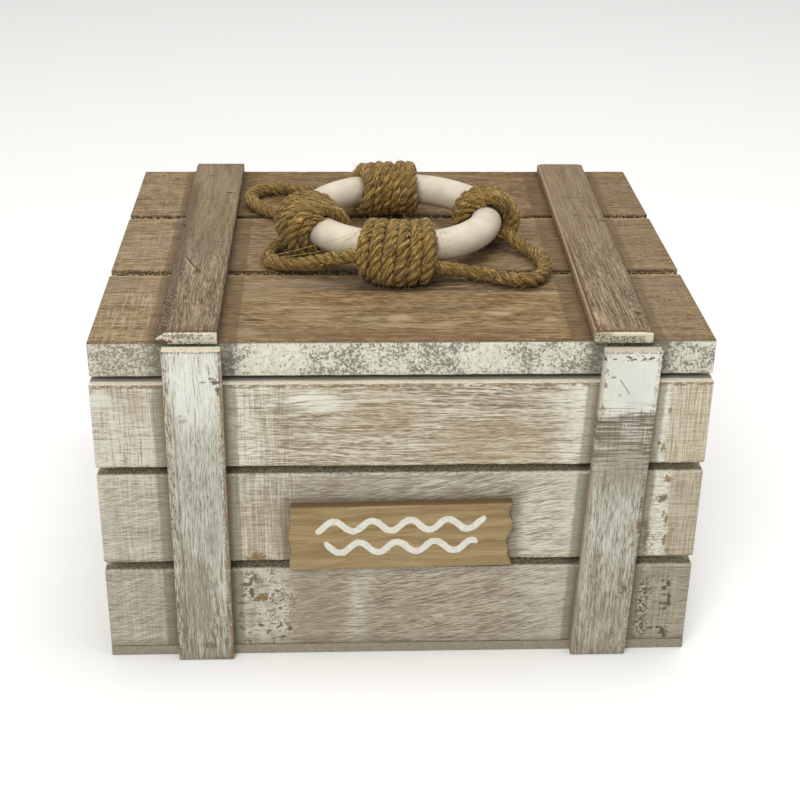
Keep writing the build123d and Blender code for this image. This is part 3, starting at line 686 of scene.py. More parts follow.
def over_up(g, col, d):
    w = g.noise(g.at(0.10, 0.10, 0.30, 60.0), 1.0, 2.0)
    white = g.smooth(g.x + (w - 0.5) * 22, 53.0, 62.0) * g.smooth(g.x, 92.0, 90.0)
    col = g.mix(white * g.smooth(d["tiny"] + (d["hair"] - 0.5), 0.34, 0.52) * 0.70, col, (0.665, 0.655, 0.555))
    bright = g.blob(g.x, g.z, -29.5, 108.0, 10.5, 3.8, d["blot"], 0.7, 0.5)
    col = g.mix(bright * g.smooth(d["fine"] + (d["hair"] - 0.5), 0.36, 0.54) * 0.75, col, (0.70, 0.69, 0.59))
    tan = g.blob(g.x, g.z, 34.0, 90.0, 24.0, 10.0, d["blot"], 0.5, 0.5)
    col = g.mix(tan * 0.34, col, (0.36, 0.27, 0.155))
    tan = g.blob(g.x, g.z, -6.0, 103.0, 16.0, 8.0, d["blot"], 0.5, 0.5)
    col = g.mix(tan * 0.26, col, (0.35, 0.25, 0.14))
    col = strokes(g, col, d, -108.5, -86.0, 61.0, 0.85)
    col = strokes(g, col, d, -62.5, -40.0, 62.0, 0.50)
    col = hatch(g, col, 94.8, 63.0)
    pink = g.blob(g.x, g.z, -95.0, 107.0, 4.5, 6.0, d["blot"], 0.9, 0.5)
    col = g.mix(pink * 0.32, col, (0.42, 0.26, 0.19))
    ends = g.blob(g.x, g.z, -107.0, 109.5, 4.0, 3.5, d["blot"], 0.7, 0.4)
    col = g.mix(ends * 0.6, col, (0.72, 0.72, 0.63))
    smudge = g.blob(g.x, g.z, -41.5, 105.0, 4.0, 1.6, d["blot"], 0.8, 0.6)
    col = g.mix(smudge * 0.40, col, (0.16, 0.12, 0.075))
    strip = g.near(g.x + (d["blot"] - 0.5) * 3, 92.8, 1.2, 1.2) * g.smooth(d["tiny"], 0.36, 0.5)
    col = g.mix(strip * 0.75, col, (0.70, 0.69, 0.59))
    col = chips(g, col, [(94.0, 88.4, 0.9, 2.0, (0.22, 0.20, 0.08)), (92.6, 90.6, 0.6, 1.0), (95.5, 104.0, 0.5, 1.6, (0.22, 0.14, 0.07))], d["blot"])
    col = g.mix(g.smooth(g.x, -84.0, -90.0) * 0.22, col, (0.36, 0.34, 0.28))
    # painted shade beside the front battens
    col = g.mix(batten_shade_bands(g), col, (0.185, 0.158, 0.108))
    # worn upper edge: brown nicks under a cream arris
    nick = g.noise(g.at(0.45, 0.3, 1.2, 64.0), 1.0, 3.0, 0.7)
    col = g.mix(g.near(g.z, 114.3, 0.35, 0.6) * g.smooth(nick, 0.46, 0.54) * 0.80, col, (0.18, 0.120, 0.060))
    low_edge = g.near(g.z, 82.5, 0.3, 0.6) * g.smooth(nick, 0.45, 0.6)
    col = g.mix(low_edge * 0.6, col, (0.20, 0.14, 0.08))
    return ledge(g, col, d)


m_up = paint_wood("front_upper", "X", 1.0, cover_up, over_up, raw_front, "upper")


# middle front plank
def cover_mid(g):
    w = g.noise(g.at(0.06, 0.06, 0.16, 51.0), 1.0, 3.0)
    centre = g.blob(g.x, g.z, -6.0, 70.0, 50.0, 26.0, w, 0.25, 0.25)
    tan = g.blob(g.x, g.z, -50.0, 54.0, 9.0, 14.0, w, 0.4, 0.4)
    right = g.smooth(g.x, 40.0, 60.0)
    rt = g.smooth(g.x + (w - 0.5) * 6, 96.5, 99.5)
    return 0.68 - centre * 0.26 - tan * 0.16 + right * 0.16 - rt * 0.16 - g.smooth(g.z, 77.4, 79.0) * 0.2


def over_mid(g, col, d):
    grey = g.blob(g.x, g.z, 4.0, 74.0, 62.0, 7.0, d["low"], 0.3, 0.4)
    col = g.mix(grey * 0.35, col, (0.265, 0.235, 0.19))
    tanl = g.blob(g.x, g.z, -50.0, 55.0, 9.5, 13.0, d["blot"], 0.4, 0.4)
    col = g.mix(tanl * 0.35, col, (0.36, 0.285, 0.185))
    col = diag(g, col, -112.0, -84.0, 38.0, 82.0, 0.30, 70.0, 0.55)
    col = strokes(g, col, d, -107.0, -88.0, 71.0, 0.40)
    col = strokes(g, col, d, -62.5, -38.0, 72.0, 0.50)
    col = diag(g, col, -30.0, 92.0, 40.0, 80.0, 0.26, 73.0, 0.80)
    cl = g.smooth(g.x + (d["blot"] - 0.5) * 14, 56.0, 64.0) * g.smooth(g.x, 92.0, 90.0)
    col = g.mix(cl * g.smooth(d["tiny"], 0.34, 0.5) * 0.38, col, (0.60, 0.58, 0.48))
    col = hatch(g, col, 97.6, 74.0, (0.36, 0.285, 0.185))
    # a rubbed, scalloped patch
    ring = g.math("SQRT", g.math("POWER", (g.x + 51.5) * 0.15, 2.0) + g.math("POWER", (g.z - 52.0) * 0.125, 2.0))
    ring = g.near(ring + (d["blot"] - 0.5) * 1.1, 1.0, 0.05, 0.10)
    col = g.mix(ring * 0.42 * g.smooth(g.z, 64.0, 56.0) * g.smooth(d["tiny"], 0.36, 0.5), col, (0.56, 0.50, 0.39))
    strip = g.near(g.x + (d["blot"] - 0.5) * 4, 95.4, 2.4, 1.6) * g.smooth(d["tiny"], 0.40, 0.52)
    col = g.mix(strip * 0.7, col, (0.70, 0.69, 0.59))
    col = chips(g, col, [(-53.6, 44.0, 3.2, 1.6, (0.19, 0.115, 0.022)), (-56.6, 43.0, 1.4, 0.8, (0.19, 0.115, 0.022)),
                         (97.2, 75.4, 1.5, 1.5, (0.21, 0.12, 0.035)),
                         (95.9, 67.2, 2.5, 1.5), (98.2, 57.6, 0.7, 2.6, (0.20, 0.12, 0.05)),
                         (97.0, 60.6, 0.5, 1.8, (0.20, 0.12, 0.05)), (98.4, 49.0, 0.7, 2.4, (0.19, 0.12, 0.05)),
                         (91.3, 50.0, 1.0, 2.4, (0.16, 0.12, 0.08)), (99.8, 45.0, 1.1, 1.1, (0.24, 0.17, 0.07)),
                         (90.6, 56.5, 0.9, 1.6, (0.15, 0.11, 0.07)), (101.0, 53.0, 0.4, 1.6, (0.22, 0.14, 0.06))], d["blot"])
    grit = g.blob(g.x, g.z, 91.0, 49.0, 3.6, 10.0, d["blot"], 0.6, 0.5)
    spk = g.noise(g.at(0.9, 0.9, 0.9, 76.0), 1.0, 3.0, 0.7)
    col = g.mix(grit * g.smooth(spk, 0.50, 0.40) * 0.75, col, (0.12, 0.09, 0.055))
    col = g.mix(g.smooth(g.x, -84.0, -90.0) * 0.18, col, (0.32, 0.30, 0.245))
    col = g.mix(g.smooth(g.x, 97.0, 100.0) * 0.30, col, (0.27, 0.225, 0.155))
    # painted shade beside the front battens
    col = g.mix(batten_shade_bands(g), col, (0.165, 0.142, 0.10))
    # painted shadow round the name board
    sx = g.smooth(g.math("ABSOLUTE", g.x + 0.4), 47.0, 42.0)
    sz = g.smooth(g.math("ABSOLUTE", g.z - 53.8), 19.0, 14.0)
    col = g.mix(sx * sz * 0.58, col, (0.135, 0.106, 0.070))
    low_edge = g.near(g.z, 42.3, 0.4, 0.7) * g.smooth(spk, 0.45, 0.56)
    col = g.mix(low_edge * 0.6, col, (0.18, 0.125, 0.07))
    top = g.near(g.z, 78.6, 0.3, 0.6) * g.smooth(spk, 0.46, 0.56)
    col = g.mix(top * 0.55, col, (0.60, 0.56, 0.46))
    return ledge(g, col, d)


m_mid = paint_wood("front_middle", "X", 2.0, cover_mid, over_mid, raw_front, "middle")


# lower front plank
def cover_low(g):
    w = g.noise(g.at(0.05, 0.05, 0.10, 52.0), 1.0, 3.0)
    centre = g.blob(g.x, g.z, -32.0, 20.0, 12.0, 20.0, w, 0.3, 0.25)
    mid = g.blob(g.x, g.z, 10.0, 18.0, 34.0, 24.0, w, 0.2, 0.3)
    white = g.blob(g.x, g.z, -15.0, 22.0, 6.0, 14.0, w, 0.6, 0.5)
    return 0.60 - centre * 0.18 - mid * 0.14 + white * 0.18 + g.smooth(g.x, 40.0, 58.0) * 0.10


def over_low(g, col, d):
    col = diag(g, col, -112.0, -82.0, 0.0, 42.0, 0.42, 80.0, 0.60)
    col = strokes(g, col, d, -108.0, -86.0, 81.0, 0.28)
    col = diag(g, col, -44.0, 92.0, 0.0, 44.0, 0.28, 83.0, 0.80, tone=(0.52, 0.485, 0.40), dark=(0.135, 0.108, 0.075))
    col = strokes(g, col, d, 90.0, 106.0, 84.0, 0.55, tone=(0.50, 0.48, 0.40), dark=(0.13, 0.105, 0.07))
    wide = g.blob(g.x, g.z, 4.0, 18.0, 40.0, 30.0, d["blot"], 0.2, 0.4)
    col = g.mix(wide * 0.16, col, (0.27, 0.222, 0.148))
    brown = g.blob(g.x, g.z, -32.0, 18.0, 11.0, 17.0, d["blot"], 0.35, 0.3)
    col = g.mix(brown * 0.40, col, (0.265, 0.200, 0.125))
    vee = g.near(g.x + 16.5 - (g.z - 18.0) * 0.15 + (d["blot"] - 0.5) * 6, 0.0, 1.6, 3.0) * g.smooth(g.z, 6.0, 14.0)
    col = g.mix(vee * g.smooth(d["fine"] + (d["hair"] - 0.5), 0.40, 0.58) * 0.6, col, (0.52, 0.49, 0.405))
    vee = g.near(g.x + 12.0 + (g.z - 20.0) * 0.25, 0.0, 0.5, 2.4)
    col = g.mix(vee * 0.22, col, (0.19, 0.155, 0.11))
    # blistered, flaking paint next to the left batten
    flake = g.noise(g.at(0.27, 0.27, 0.21, 86.0), 1.0, 4.0, 0.68, 0.5)
    hole = g.noise(g.at(0.30, 0.30, 0.24, 87.0), 1.0, 4.0, 0.64, 0.6)
    flaky = g.blob(g.x, g.z, -52.0, 20.0, 11.5, 21.0, d["blot"], 0.4, 0.35)
    col = g.mix(flaky * g.smooth(flake, 0.47, 0.53) * 0.62, col, (0.52, 0.495, 0.415))
    col = g.mix(flaky * g.smooth(flake, 0.44, 0.37) * 0.45, col, (0.22, 0.185, 0.13))
    col = g.mix(flaky * g.near(hole, 0.535, 0.012, 0.014) * 0.65, col, (0.64, 0.60, 0.50))
    col = g.mix(flaky * g.smooth(hole, 0.555, 0.575) * 0.85, col, (0.125, 0.090, 0.052))
    col = chips(g, col, [(-51.8, 26.0, 2.3, 2.0, (0.165, 0.10, 0.018)), (-54.6, 24.6, 1.2, 0.9, (0.165, 0.10, 0.018)),
                         (-58.0, 31.5, 2.2, 0.8, (0.10, 0.075, 0.05)), (-56.0, 28.4, 0.8, 1.8, (0.10, 0.075, 0.05)),
                         (-54.4, 34.0, 0.9, 2.0, (0.12, 0.09, 0.055)), (-59.5, 23.0, 1.6, 0.7, (0.12, 0.08, 0.04)),
                         (-41.8, 11.6, 1.0, 1.2), (-45.0, 7.2, 1.8, 0.9), (-49.0, 10.0, 1.0, 0.5), (-53.0, 13.0, 1.4, 0.5)], d["blot"])
    spk = g.noise(g.at(0.8, 0.8, 0.8, 88.0), 1.0, 4.0, 0.72)
    grit = g.blob(g.x, g.z, 90.0, 17.0, 5.6, 19.0, d["blot"], 0.5, 0.35)
    col = g.mix(g.smooth(g.x, -84.0, -90.0) * 0.22, col, (0.27, 0.25, 0.20))
    col = g.mix(g.smooth(g.x, 92.0, 96.0) * 0.30, col, (0.22, 0.195, 0.145))
    col = g.mix(grit * g.smooth(spk, 0.525, 0.455) * 0.88, col, (0.080, 0.056, 0.032))
    col = g.mix(grit * g.smooth(spk, 0.57, 0.63) * 0.6, col, (0.50, 0.47, 0.38))
    col = chips(g, col, [(101.7, 29.6, 1.0, 2.2), (100.0, 30.9, 1.4, 0.5), (100.3, 27.6, 1.0, 0.9), (102.7, 21.9, 0.9, 3.0),
                         (100.4, 20.6, 1.5, 0.45), (100.8, 24.6, 0.7, 0.7), (101.2, 18.4, 1.3, 0.5), (101.6, 8.0, 1.5, 2.3),
                         (99.9, 9.7, 1.2, 0.6), (102.3, 5.6, 1.0, 1.0), (96.6, 9.3, 1.3, 0.4)], d["blot"], (0.060, 0.043, 0.021))
    col = g.mix(g.smooth(g.x, 40.0, 56.0) * g.smooth(g.x, 92.0, 88.0) * g.smooth(d["tiny"], 0.38, 0.52) * 0.30, col, (0.52, 0.50, 0.43))
    # painted shade beside the front battens
    col = g.mix(batten_shade_bands(g), col, (0.150, 0.128, 0.088))
    col = g.mix(g.smooth(g.z, 9.0, 4.0) * 0.35, col, (0.19, 0.165, 0.12))
    col = g.mix(g.near(g.z, 4.3, 0.25, 0.4) * 0.2, col, (0.10, 0.08, 0.055))
    edge = g.near(g.z, 38.2, 0.3, 0.8) * g.smooth(spk, 0.46, 0.56)
    col = g.mix(edge * 0.6, col, (0.52, 0.49, 0.41))
    return ledge(g, col, d)


m_low = paint_wood("front_lower", "X", 3.0, cover_low, over_low, raw_front, "lower")


# back and side walls
def cover_wall(g):
    w = g.noise(g.at(0.022, 0.022, 0.06, 53.0), 1.0, 2.0)
    return 0.42 + g.smooth(w, 0.36, 0.62) * 0.42


def wall_over(axis, test):
    def f(g, col, d):
        v = g.noise(g.at(1.4 if axis == "X" else 0.4, 1.4 if axis == "Y" else 0.4, 0.035, 90.0), 1.0, 2.0)
        w = g.noise(g.at(0.03, 0.03, 0.03, 91.0), 1.0, 1.0)
        k = g.smooth(w, 0.52, 0.62)
        col = g.mix(k * g.smooth(v, 0.53, 0.66) * 0.5, col, (0.66, 0.64, 0.54))
        col = g.mix(k * g.smooth(v, 0.45, 0.34) * 0.4, col, (0.24, 0.18, 0.115))
        fl = g.noise(g.at(0.2, 0.2, 0.2, 92.0), 1.0, 3.0, 0.65)
        col = g.mix(g.smooth(fl, 0.715, 0.74), col, (0.11, 0.07, 0.03))
        tone = g.noise(g.at(0.002, 0.002, 0.028, 93.0), 1.0, 0.0)
        col = g.mix(g.smooth(tone, 0.48, 0.36) * 0.25, col, (0.24, 0.20, 0.15))
        n = g.noise(g.at(1.1, 1.1, 1.1, 31.0), 1.0, 2.0, 0.7)
        dark = g.mix(g.smooth(n, 0.38, 0.66), (0.17, 0.155, 0.115), (0.42, 0.39, 0.31))
        cream = g.mix(g.smooth(n, 0.40, 0.60), (0.56, 0.50, 0.39), (0.70, 0.65, 0.54))
        col = g.mix(test(g), col, dark)
        return g.mix(g.smooth(g.z, 115.0, 115.25), col, cream)
    return f


m_back = paint_wood("back_wall", "X", 4.0, cover_wall, wall_over("X", lambda g: g.smooth(g.y, BACK - 0.6, BACK - 1.4)),
                    lambda g: g.smooth(g.y, BACK - 11.0, BACK - 12.2))
m_left = paint_wood("left_wall", "Y", 5.0, cover_wall, wall_over("Y", lambda g: g.smooth(g.x, -109.4, -108.6)),
                    lambda g: g.smooth(g.x, -99.0, -97.8))
m_right = paint_wood("right_wall", "Y", 6.0, cover_wall, wall_over("Y", lambda g: g.smooth(g.x, 109.4, 108.6)),
                     lambda g: g.smooth(g.x, 99.0, 97.8))

# ------------------------------------------------------------------ wall planks
COURSES = {"lower": (3.9, 38.6, 41.9), "middle": (41.9, 79.1, 82.1), "upper": (82.1, 115.4, None)}
MX = lambda u, v, w: (u, -w, v)          # front wall
MB = lambda u, v, w: (u, w, v)           # back wall
ML = lambda u, v, w: (-w, u, v)          # left wall
MR = lambda u, v, w: (w, u, v)           # right wall


def wall_plank(name, M, u0, u1, out, course, mat, seed, chip, r=0.5):
    z0, z1, nxt = COURSES[course]
    parts = [board_mesh(M, u0, u1, z0, z1, out - 13.0, out, r, 2.4, 0.22, chip, seed)]
    if nxt is not None:
        parts.append(board_mesh(M, u0 + 0.3, u1 - 0.3, z1 - 1.0, nxt + 0.6, out - 11.0, out - 7.0, 0.2, 4.0, 0.0, 0.0, seed + 3, endr=0.2))
    v, f = join(*parts)
    finish_mesh(name + "_board", v, f, mat, "chest", [name])


for i, (course, mat) in enumerate((("lower", m_low), ("middle", m_mid), ("upper", m_up))):
    wall_plank("front_plank_" + course, MX, -110.0, 110.0, 95.4, course, mat, 10.0 + i, 0.28)
    wall_plank("back_plank_" + course, MB, -110.0, 110.0, 94.6, course, m_back, 20.0 + i, 0.3)
    wall_plank("left_side_plank_" + course, ML, -82.4, 81.6, 110.0, course, m_left, 30.0 + i, 0.3, 0.45)
    wall_plank("right_side_plank_" + course, MR, -82.4, 81.6, 110.0, course, m_right, 40.0 + i, 0.3, 0.45)


# ------------------------------------------------------------------ lid planks
def lid_wood(name, seed, front=False, shade=1.0):
    g = Graph(name)
    warm = {"lid_front": (0.95, 0.88, 0.71), "lid_middle": (0.91, 0.85, 0.69), "lid_rear": (0.83, 0.73, 0.53)}[name]
    fine, mid, tiny = grain(g, "X", seed, 0.0, 0.56)
    hair = g.hair
    low = g.noise(g.at(0.020, 0.045, 0.05, seed + 1.0), 1.0, 2.0)
    blot = g.noise(g.at(0.13, 0.13, 0.13, seed + 3.0), 1.0, 3.0, 0.6)
    end = g.smooth(g.math("ABSOLUTE", g.x - 2.0), 66.0, 90.0)
    sh = lambda *c: tuple(v * shade * w for v, w in zip(c, warm))
    base = g.mix(g.smooth(mid, 0.30, 0.70), sh(0.138, 0.088, 0.042), sh(0.250, 0.172, 0.092))
    pale = g.mix(g.smooth(mid + (blot - 0.5) * 0.6, 0.30, 0.70), sh(0.200, 0.145, 0.084), sh(0.300, 0.228, 0.142))
    col = g.mix(end * 0.9, base, pale)
    col = g.mix(g.smooth(fine, 0.48, 0.39) * 0.66, col, (0.082, 0.050, 0.023))
    col = g.mix(g.smooth(fine, 0.53, 0.62) * 0.50, col, (0.36, 0.265, 0.150))
    col = g.mix(g.smooth(hair, 0.54, 0.62) * 0.45, col, (0.39, 0.295, 0.175))
    col = g.mix(g.smooth(hair, 0.45, 0.37) * 0.50, col, (0.080, 0.048, 0.021))
    col = g.mix(g.smooth(g.pore, 0.53, 0.58) * 0.42, col, (0.38, 0.28, 0.160))
    col = g.mix(g.smooth(g.pore, 0.47, 0.42) * 0.50, col, (0.080, 0.048, 0.021))
    col = g.mix(g.smooth(blot, 0.55, 0.70) * 0.24, col, (0.26, 0.205, 0.135))
    col = g.mix(g.smooth(low, 0.53, 0.66) * 0.26, col, (0.20, 0.165, 0.125))
    # saw marks across the grain at the ends
    saw = g.noise(g.at(1.4, 0.06, 0.3, seed + 12), 1.0, 2.0)
    col = g.mix(end * g.smooth(saw, 0.52, 0.66) * 0.26, col, (0.37, 0.30, 0.205))
    col = g.mix(end * g.smooth(saw, 0.45, 0.34) * 0.22, col, (0.11, 0.072, 0.04))
    grit = g.noise(g.at(1.0, 1.0, 1.0, seed + 13), 1.0, 3.0, 0.7)
    col = g.mix(end * g.smooth(grit, 0.60, 0.68) * 0.35, col, (0.40, 0.32, 0.21))
    if front:
        warp = blot
        # a dark grey strip and a greyer patch just in front of the ring
        col = g.mix(g.blob(g.x, g.y, 2.0, -41.0, 42.0, 4.6, warp, 0.5, 0.5) * g.smooth(fine, 0.66, 0.42) * 0.80, col, (0.066, 0.050, 0.036))
        col = g.mix(g.blob(g.x, g.y, -30.0, -38.5, 26.0, 3.6, warp, 0.6, 0.5) * 0.42, col, (0.235, 0.205, 0.165))
        col = g.mix(g.blob(g.x, g.y, 22.0, -46.0, 44.0, 1.1, fine, 0.5, 0.5) * 0.70, col, (0.062, 0.040, 0.022))
        col = g.mix(g.blob(g.x, g.y, -52.0, -48.0, 12.0, 9.0, warp, 0.5, 0.5) * 0.22, col, (0.30, 0.245, 0.17))
        # redder stain along the front edge
        col = g.mix(g.blob(g.x, g.y, 8.0, -87.0, 66.0, 4.4, warp, 0.5, 0.6) * g.smooth(mid, 0.36, 0.62) * 0.62, col, (0.130, 0.056, 0.028))
        col = g.mix(g.blob(g.x, g.y, 8.0, -79.0, 66.0, 3.0, warp, 0.6, 0.6) * g.smooth(fine, 0.40, 0.56) * 0.34, col, (0.33, 0.25, 0.16))
        for x, y, a, b, k in ((-1.5, -72.0, 4.6, 2.6, 0.62), (35.5, -68.4, 4.4, 1.9, 0.75), (54.0, -73.5, 2.6, 1.7, 0.42),
                              (-38.0, -62.0, 12.0, 1.6, 0.30), (57.0, -49.5, 5.0, 1.4, 0.5), (-12.0, -73.0, 5.0, 1.4, 0.30),
                              (-33.0, -70.0, 9.0, 4.0, 0.28), (-56.0, -84.0, 6.0, 3.0, 0.25)):
            col = g.mix(g.blob(g.x, g.y, x, y, a, b, warp, 0.6, 0.55) * k, col, (0.43, 0.335, 0.215))
        # a small knot with an eyelash of dark grain
        col = g.mix(g.blob(g.x, g.y, -54.0, -73.4, 4.0, 0.8, warp, 1.0, 0.35) * 0.85, col, (0.050, 0.030, 0.014))
        col = g.mix(g.blob(g.x, g.y, -57.8, -75.8, 2.2, 0.6, warp, 1.0, 0.35) * 0.6, col, (0.07, 0.042, 0.02))
        col = g.mix(g.near(g.y, -47.6, 0.25, 0.35) * g.smooth(g.x, -88.0, -92.0) * 0.7, col, (0.10, 0.055, 0.028))
        dots = g.smooth(g.noise(g.at(0.8, 0.8, 0.8, seed + 14), 1.0, 3.0, 0.65), 0.57, 0.64)
        col = g.mix(g.blob(g.x, g.y, 102.0, -79.0, 16.0, 16.0, blot, 0.5, 0.5) * dots * 0.60, col, (0.070, 0.030, 0.014))
        col = g.mix(g.blob(g.x, g.y, 99.0, -62.0, 16.0, 24.0, blot, 0.5, 0.5) * g.smooth(grit, 0.55, 0.64) * 0.45, col, (0.42, 0.335, 0.215))
        # upright scratches over the left end
        col = g.mix(g.blob(g.x, g.y, -98.0, -66.0, 10.0, 22.0, blot, 0.5, 0.5) * g.smooth(saw, 0.52, 0.62) * 0.35, col, (0.42, 0.34, 0.23))
        col = g.mix(g.near(g.y, -91.4, 0.3, 0.9) * g.smooth(grit, 0.54, 0.42) * 0.7, col, (0.060, 0.034, 0.016))
    # browner to the right of the right batten
    col = g.mix(g.smooth(g.x, 88.0, 94.0) * 0.33, col, (0.125, 0.072, 0.030))
    # painted shade in bands beside the lid battens, over a darker brown tint
    n = g.noise(g.at(0.10, 0.06, 0.06, seed + 22), 1.0, 2.0)
    dl = g.x + 75.55
    dr = g.x - (78.25 + g.y * 0.0175)
    bl = g.smooth(g.math("ABSOLUTE", dl - 1.4) + (n - 0.5) * 1.2, 16.4, 15.2)
    br = g.smooth(g.math("ABSOLUTE", dr + 1.3) + (n - 0.5) * 1.2, 17.2, 16.0)
    col = g.mix(g.maximum(bl, br) * 0.50, col, (0.092, 0.055, 0.022))
    # painted shade, deepest against the battens
    bl = g.smooth(g.math("ABSOLUTE", dl), 14.0, 10.5)
    br = g.smooth(g.math("ABSOLUTE", dr), 14.0, 10.5)
    col = g.mix(g.maximum(bl, br) * 0.35, col, (0.045, 0.027, 0.012))
    # dark granular groove walls and tongues
    gn = g.noise(g.at(1.1, 1.1, 1.1, 33.0), 1.0, 3.0, 0.7)
    dark = g.mix(g.smooth(gn, 0.44, 0.58), (0.060, 0.038, 0.020), (0.52, 0.37, 0.20))
    inside = g.smooth(g.z, 129.35, 128.6) * g.smooth(g.y, -91.6, -91.0) * g.smooth(g.math("ABSOLUTE", g.x), 109.6, 109.2)
    col = g.mix(inside, col, dark)
    # the rim of a groove is ragged and dark behind, pale in front
    rim = g.maximum(g.near(g.y, -26.3, 0.2, 0.9), g.near(g.y, 35.9, 0.2, 0.9))
    col = g.mix(rim * g.smooth(gn, 0.56, 0.46) * 0.8, col, (0.050, 0.030, 0.015))
    lip = g.maximum(g.near(g.y, -31.5, 0.35, 0.6), g.near(g.y, 31.3, 0.35, 0.6))
    col = g.mix(lip * g.smooth(fine, 0.35, 0.5) * 0.6, col, (0.42, 0.33, 0.21))
    tint = {"lid_front": (0.93, 0.90, 0.81), "lid_middle": (0.95, 0.92, 0.85), "lid_rear": (0.88, 0.80, 0.66)}[name]
    col = g.mix(g.smooth(g.math("ABSOLUTE", g.x - 2.0), 92.0, 66.0) * 0.9, col, g.mix(1.0, col, tint, "MULTIPLY"))
    # underside stays bare
    bare = g.mix(g.smooth(mid, 0.35, 0.65), (0.42, 0.285, 0.155), (0.56, 0.405, 0.245))
    col = g.mix(g.smooth(g.z, 117.6, 117.2), col, bare)
    # painted edge: cream paint, granular grey-green patches, dark beside the battens with more grit and painted shade
    big = g.noise(g.at(0.10, 0.10, 0.14, 14.0), 1.0, 3.0, 0.6)
    s1 = g.noise(g.at(1.15, 1.15, 1.15, 15.0), 1.0, 4.0, 0.78)
    s2 = g.noise(g.at(0.42, 0.42, 0.42, 16.0), 1.0, 3.0, 0.6)
    paint = g.mix(g.smooth(s2, 0.35, 0.65), (0.56, 0.555, 0.455), (0.665, 0.665, 0.565))
    clean = g.maximum(g.blob(g.x, g.z, -45.0, 124.0, 9.5, 9.0, s2, 0.5, 0.3), g.blob(g.x, g.z, 29.0, 125.5, 7.0, 6.5, s2, 0.8, 0.5) * 0.7)
    left = g.blob(g.x, g.z, -97.0, 122.0, 16.0, 12.0, s2, 0.3, 0.3)
    dbl = g.math("ABSOLUTE", g.x + 73.75)
    dbr = g.math("ABSOLUTE", bat_right(g))
    beside = g.maximum(g.smooth(dbl + (s2 - 0.5) * 5, 17.5, 13.0), g.smooth(dbr + (s2 - 0.5) * 4, 16.0, 12.6))
    patch = g.smooth(big, 0.38, 0.60)
    dens = g.math("SUBTRACT", g.maximum(patch * 0.55 + 0.20, left * 0.62, beside), clean * 0.95, clamp=True)
    grit = g.smooth(s1 + dens * 0.14, 0.555, 0.625)
    paint = g.mix(dens * 0.30, paint, (0.415, 0.395, 0.325))
    paint = g.mix(grit * 0.84, paint, (0.125, 0.112, 0.078))
    paint = g.mix(g.smooth(s1, 0.46, 0.38) * dens * 0.65, paint, (0.68, 0.68, 0.59))
    paint = g.mix(left * 0.24, paint, (0.30, 0.245, 0.155))
    # painted shade beside the battens
    paint = g.mix(beside * 0.50, paint, (0.125, 0.115, 0.078))
    paint = g.mix(g.smooth(g.z, 118.4, 117.0) * 0.30, paint, (0.62, 0.61, 0.51))
    side = g.maximum(g.smooth(g.y, -91.75, -92.15), g.smooth(g.math("ABSOLUTE", g.x), 109.5, 109.85), g.smooth(g.y, 94.0, 94.4))
    side = side * g.smooth(g.z + (s1 - 0.5) * 0.9, 129.85, 129.5)
    col = g.mix(side, col, paint)
    arris = g.near(g.z, 129.75, 0.16, 0.3) * g.smooth(g.y, -91.2, -91.8)
    col = g.mix(arris * g.smooth(s1, 0.58, 0.44) * 0.85, col, (0.10, 0.06, 0.028))
    h = fine * 0.5 + tiny * 0.3 + hair * 0.4 + g.math("MULTIPLY", s1, side) * 0.5
    return g.done(col, 0.72, g.bump(h, 0.26, 0.9), 0.3)


MT = lambda u, v, w: (u, v, w)
lid = (("front", -92.4, -31.0, None, -26.6), ("middle", -26.6, 31.8, -31.0, 35.6), ("rear", 35.6, 94.6, 31.8, None))
for i, (nm, y0, y1, prev, nxt) in enumerate(lid):
    parts = [board_mesh(MT, -110.0, 110.0, y0, y1, 117.0, 130.0, 0.42, 2.4, 0.12, 0.14, 50.0 + i)]
    if nxt is not None:
        parts.append(board_mesh(MT, -109.7, 109.7, y1 - 1.0, nxt + 0.6, 119.2, 123.2, 0.2, 4.0, 0.0, 0.0, 60.0 + i, endr=0.2))
    v, f = join(*parts)
    finish_mesh("lid_plank_" + nm + "_board", v, f, lid_wood("lid_" + nm, 110.0 + i * 4, nm == "front", (1.0, 1.0, 0.93)[i]), "lid",
                ["lid_plank_" + nm])


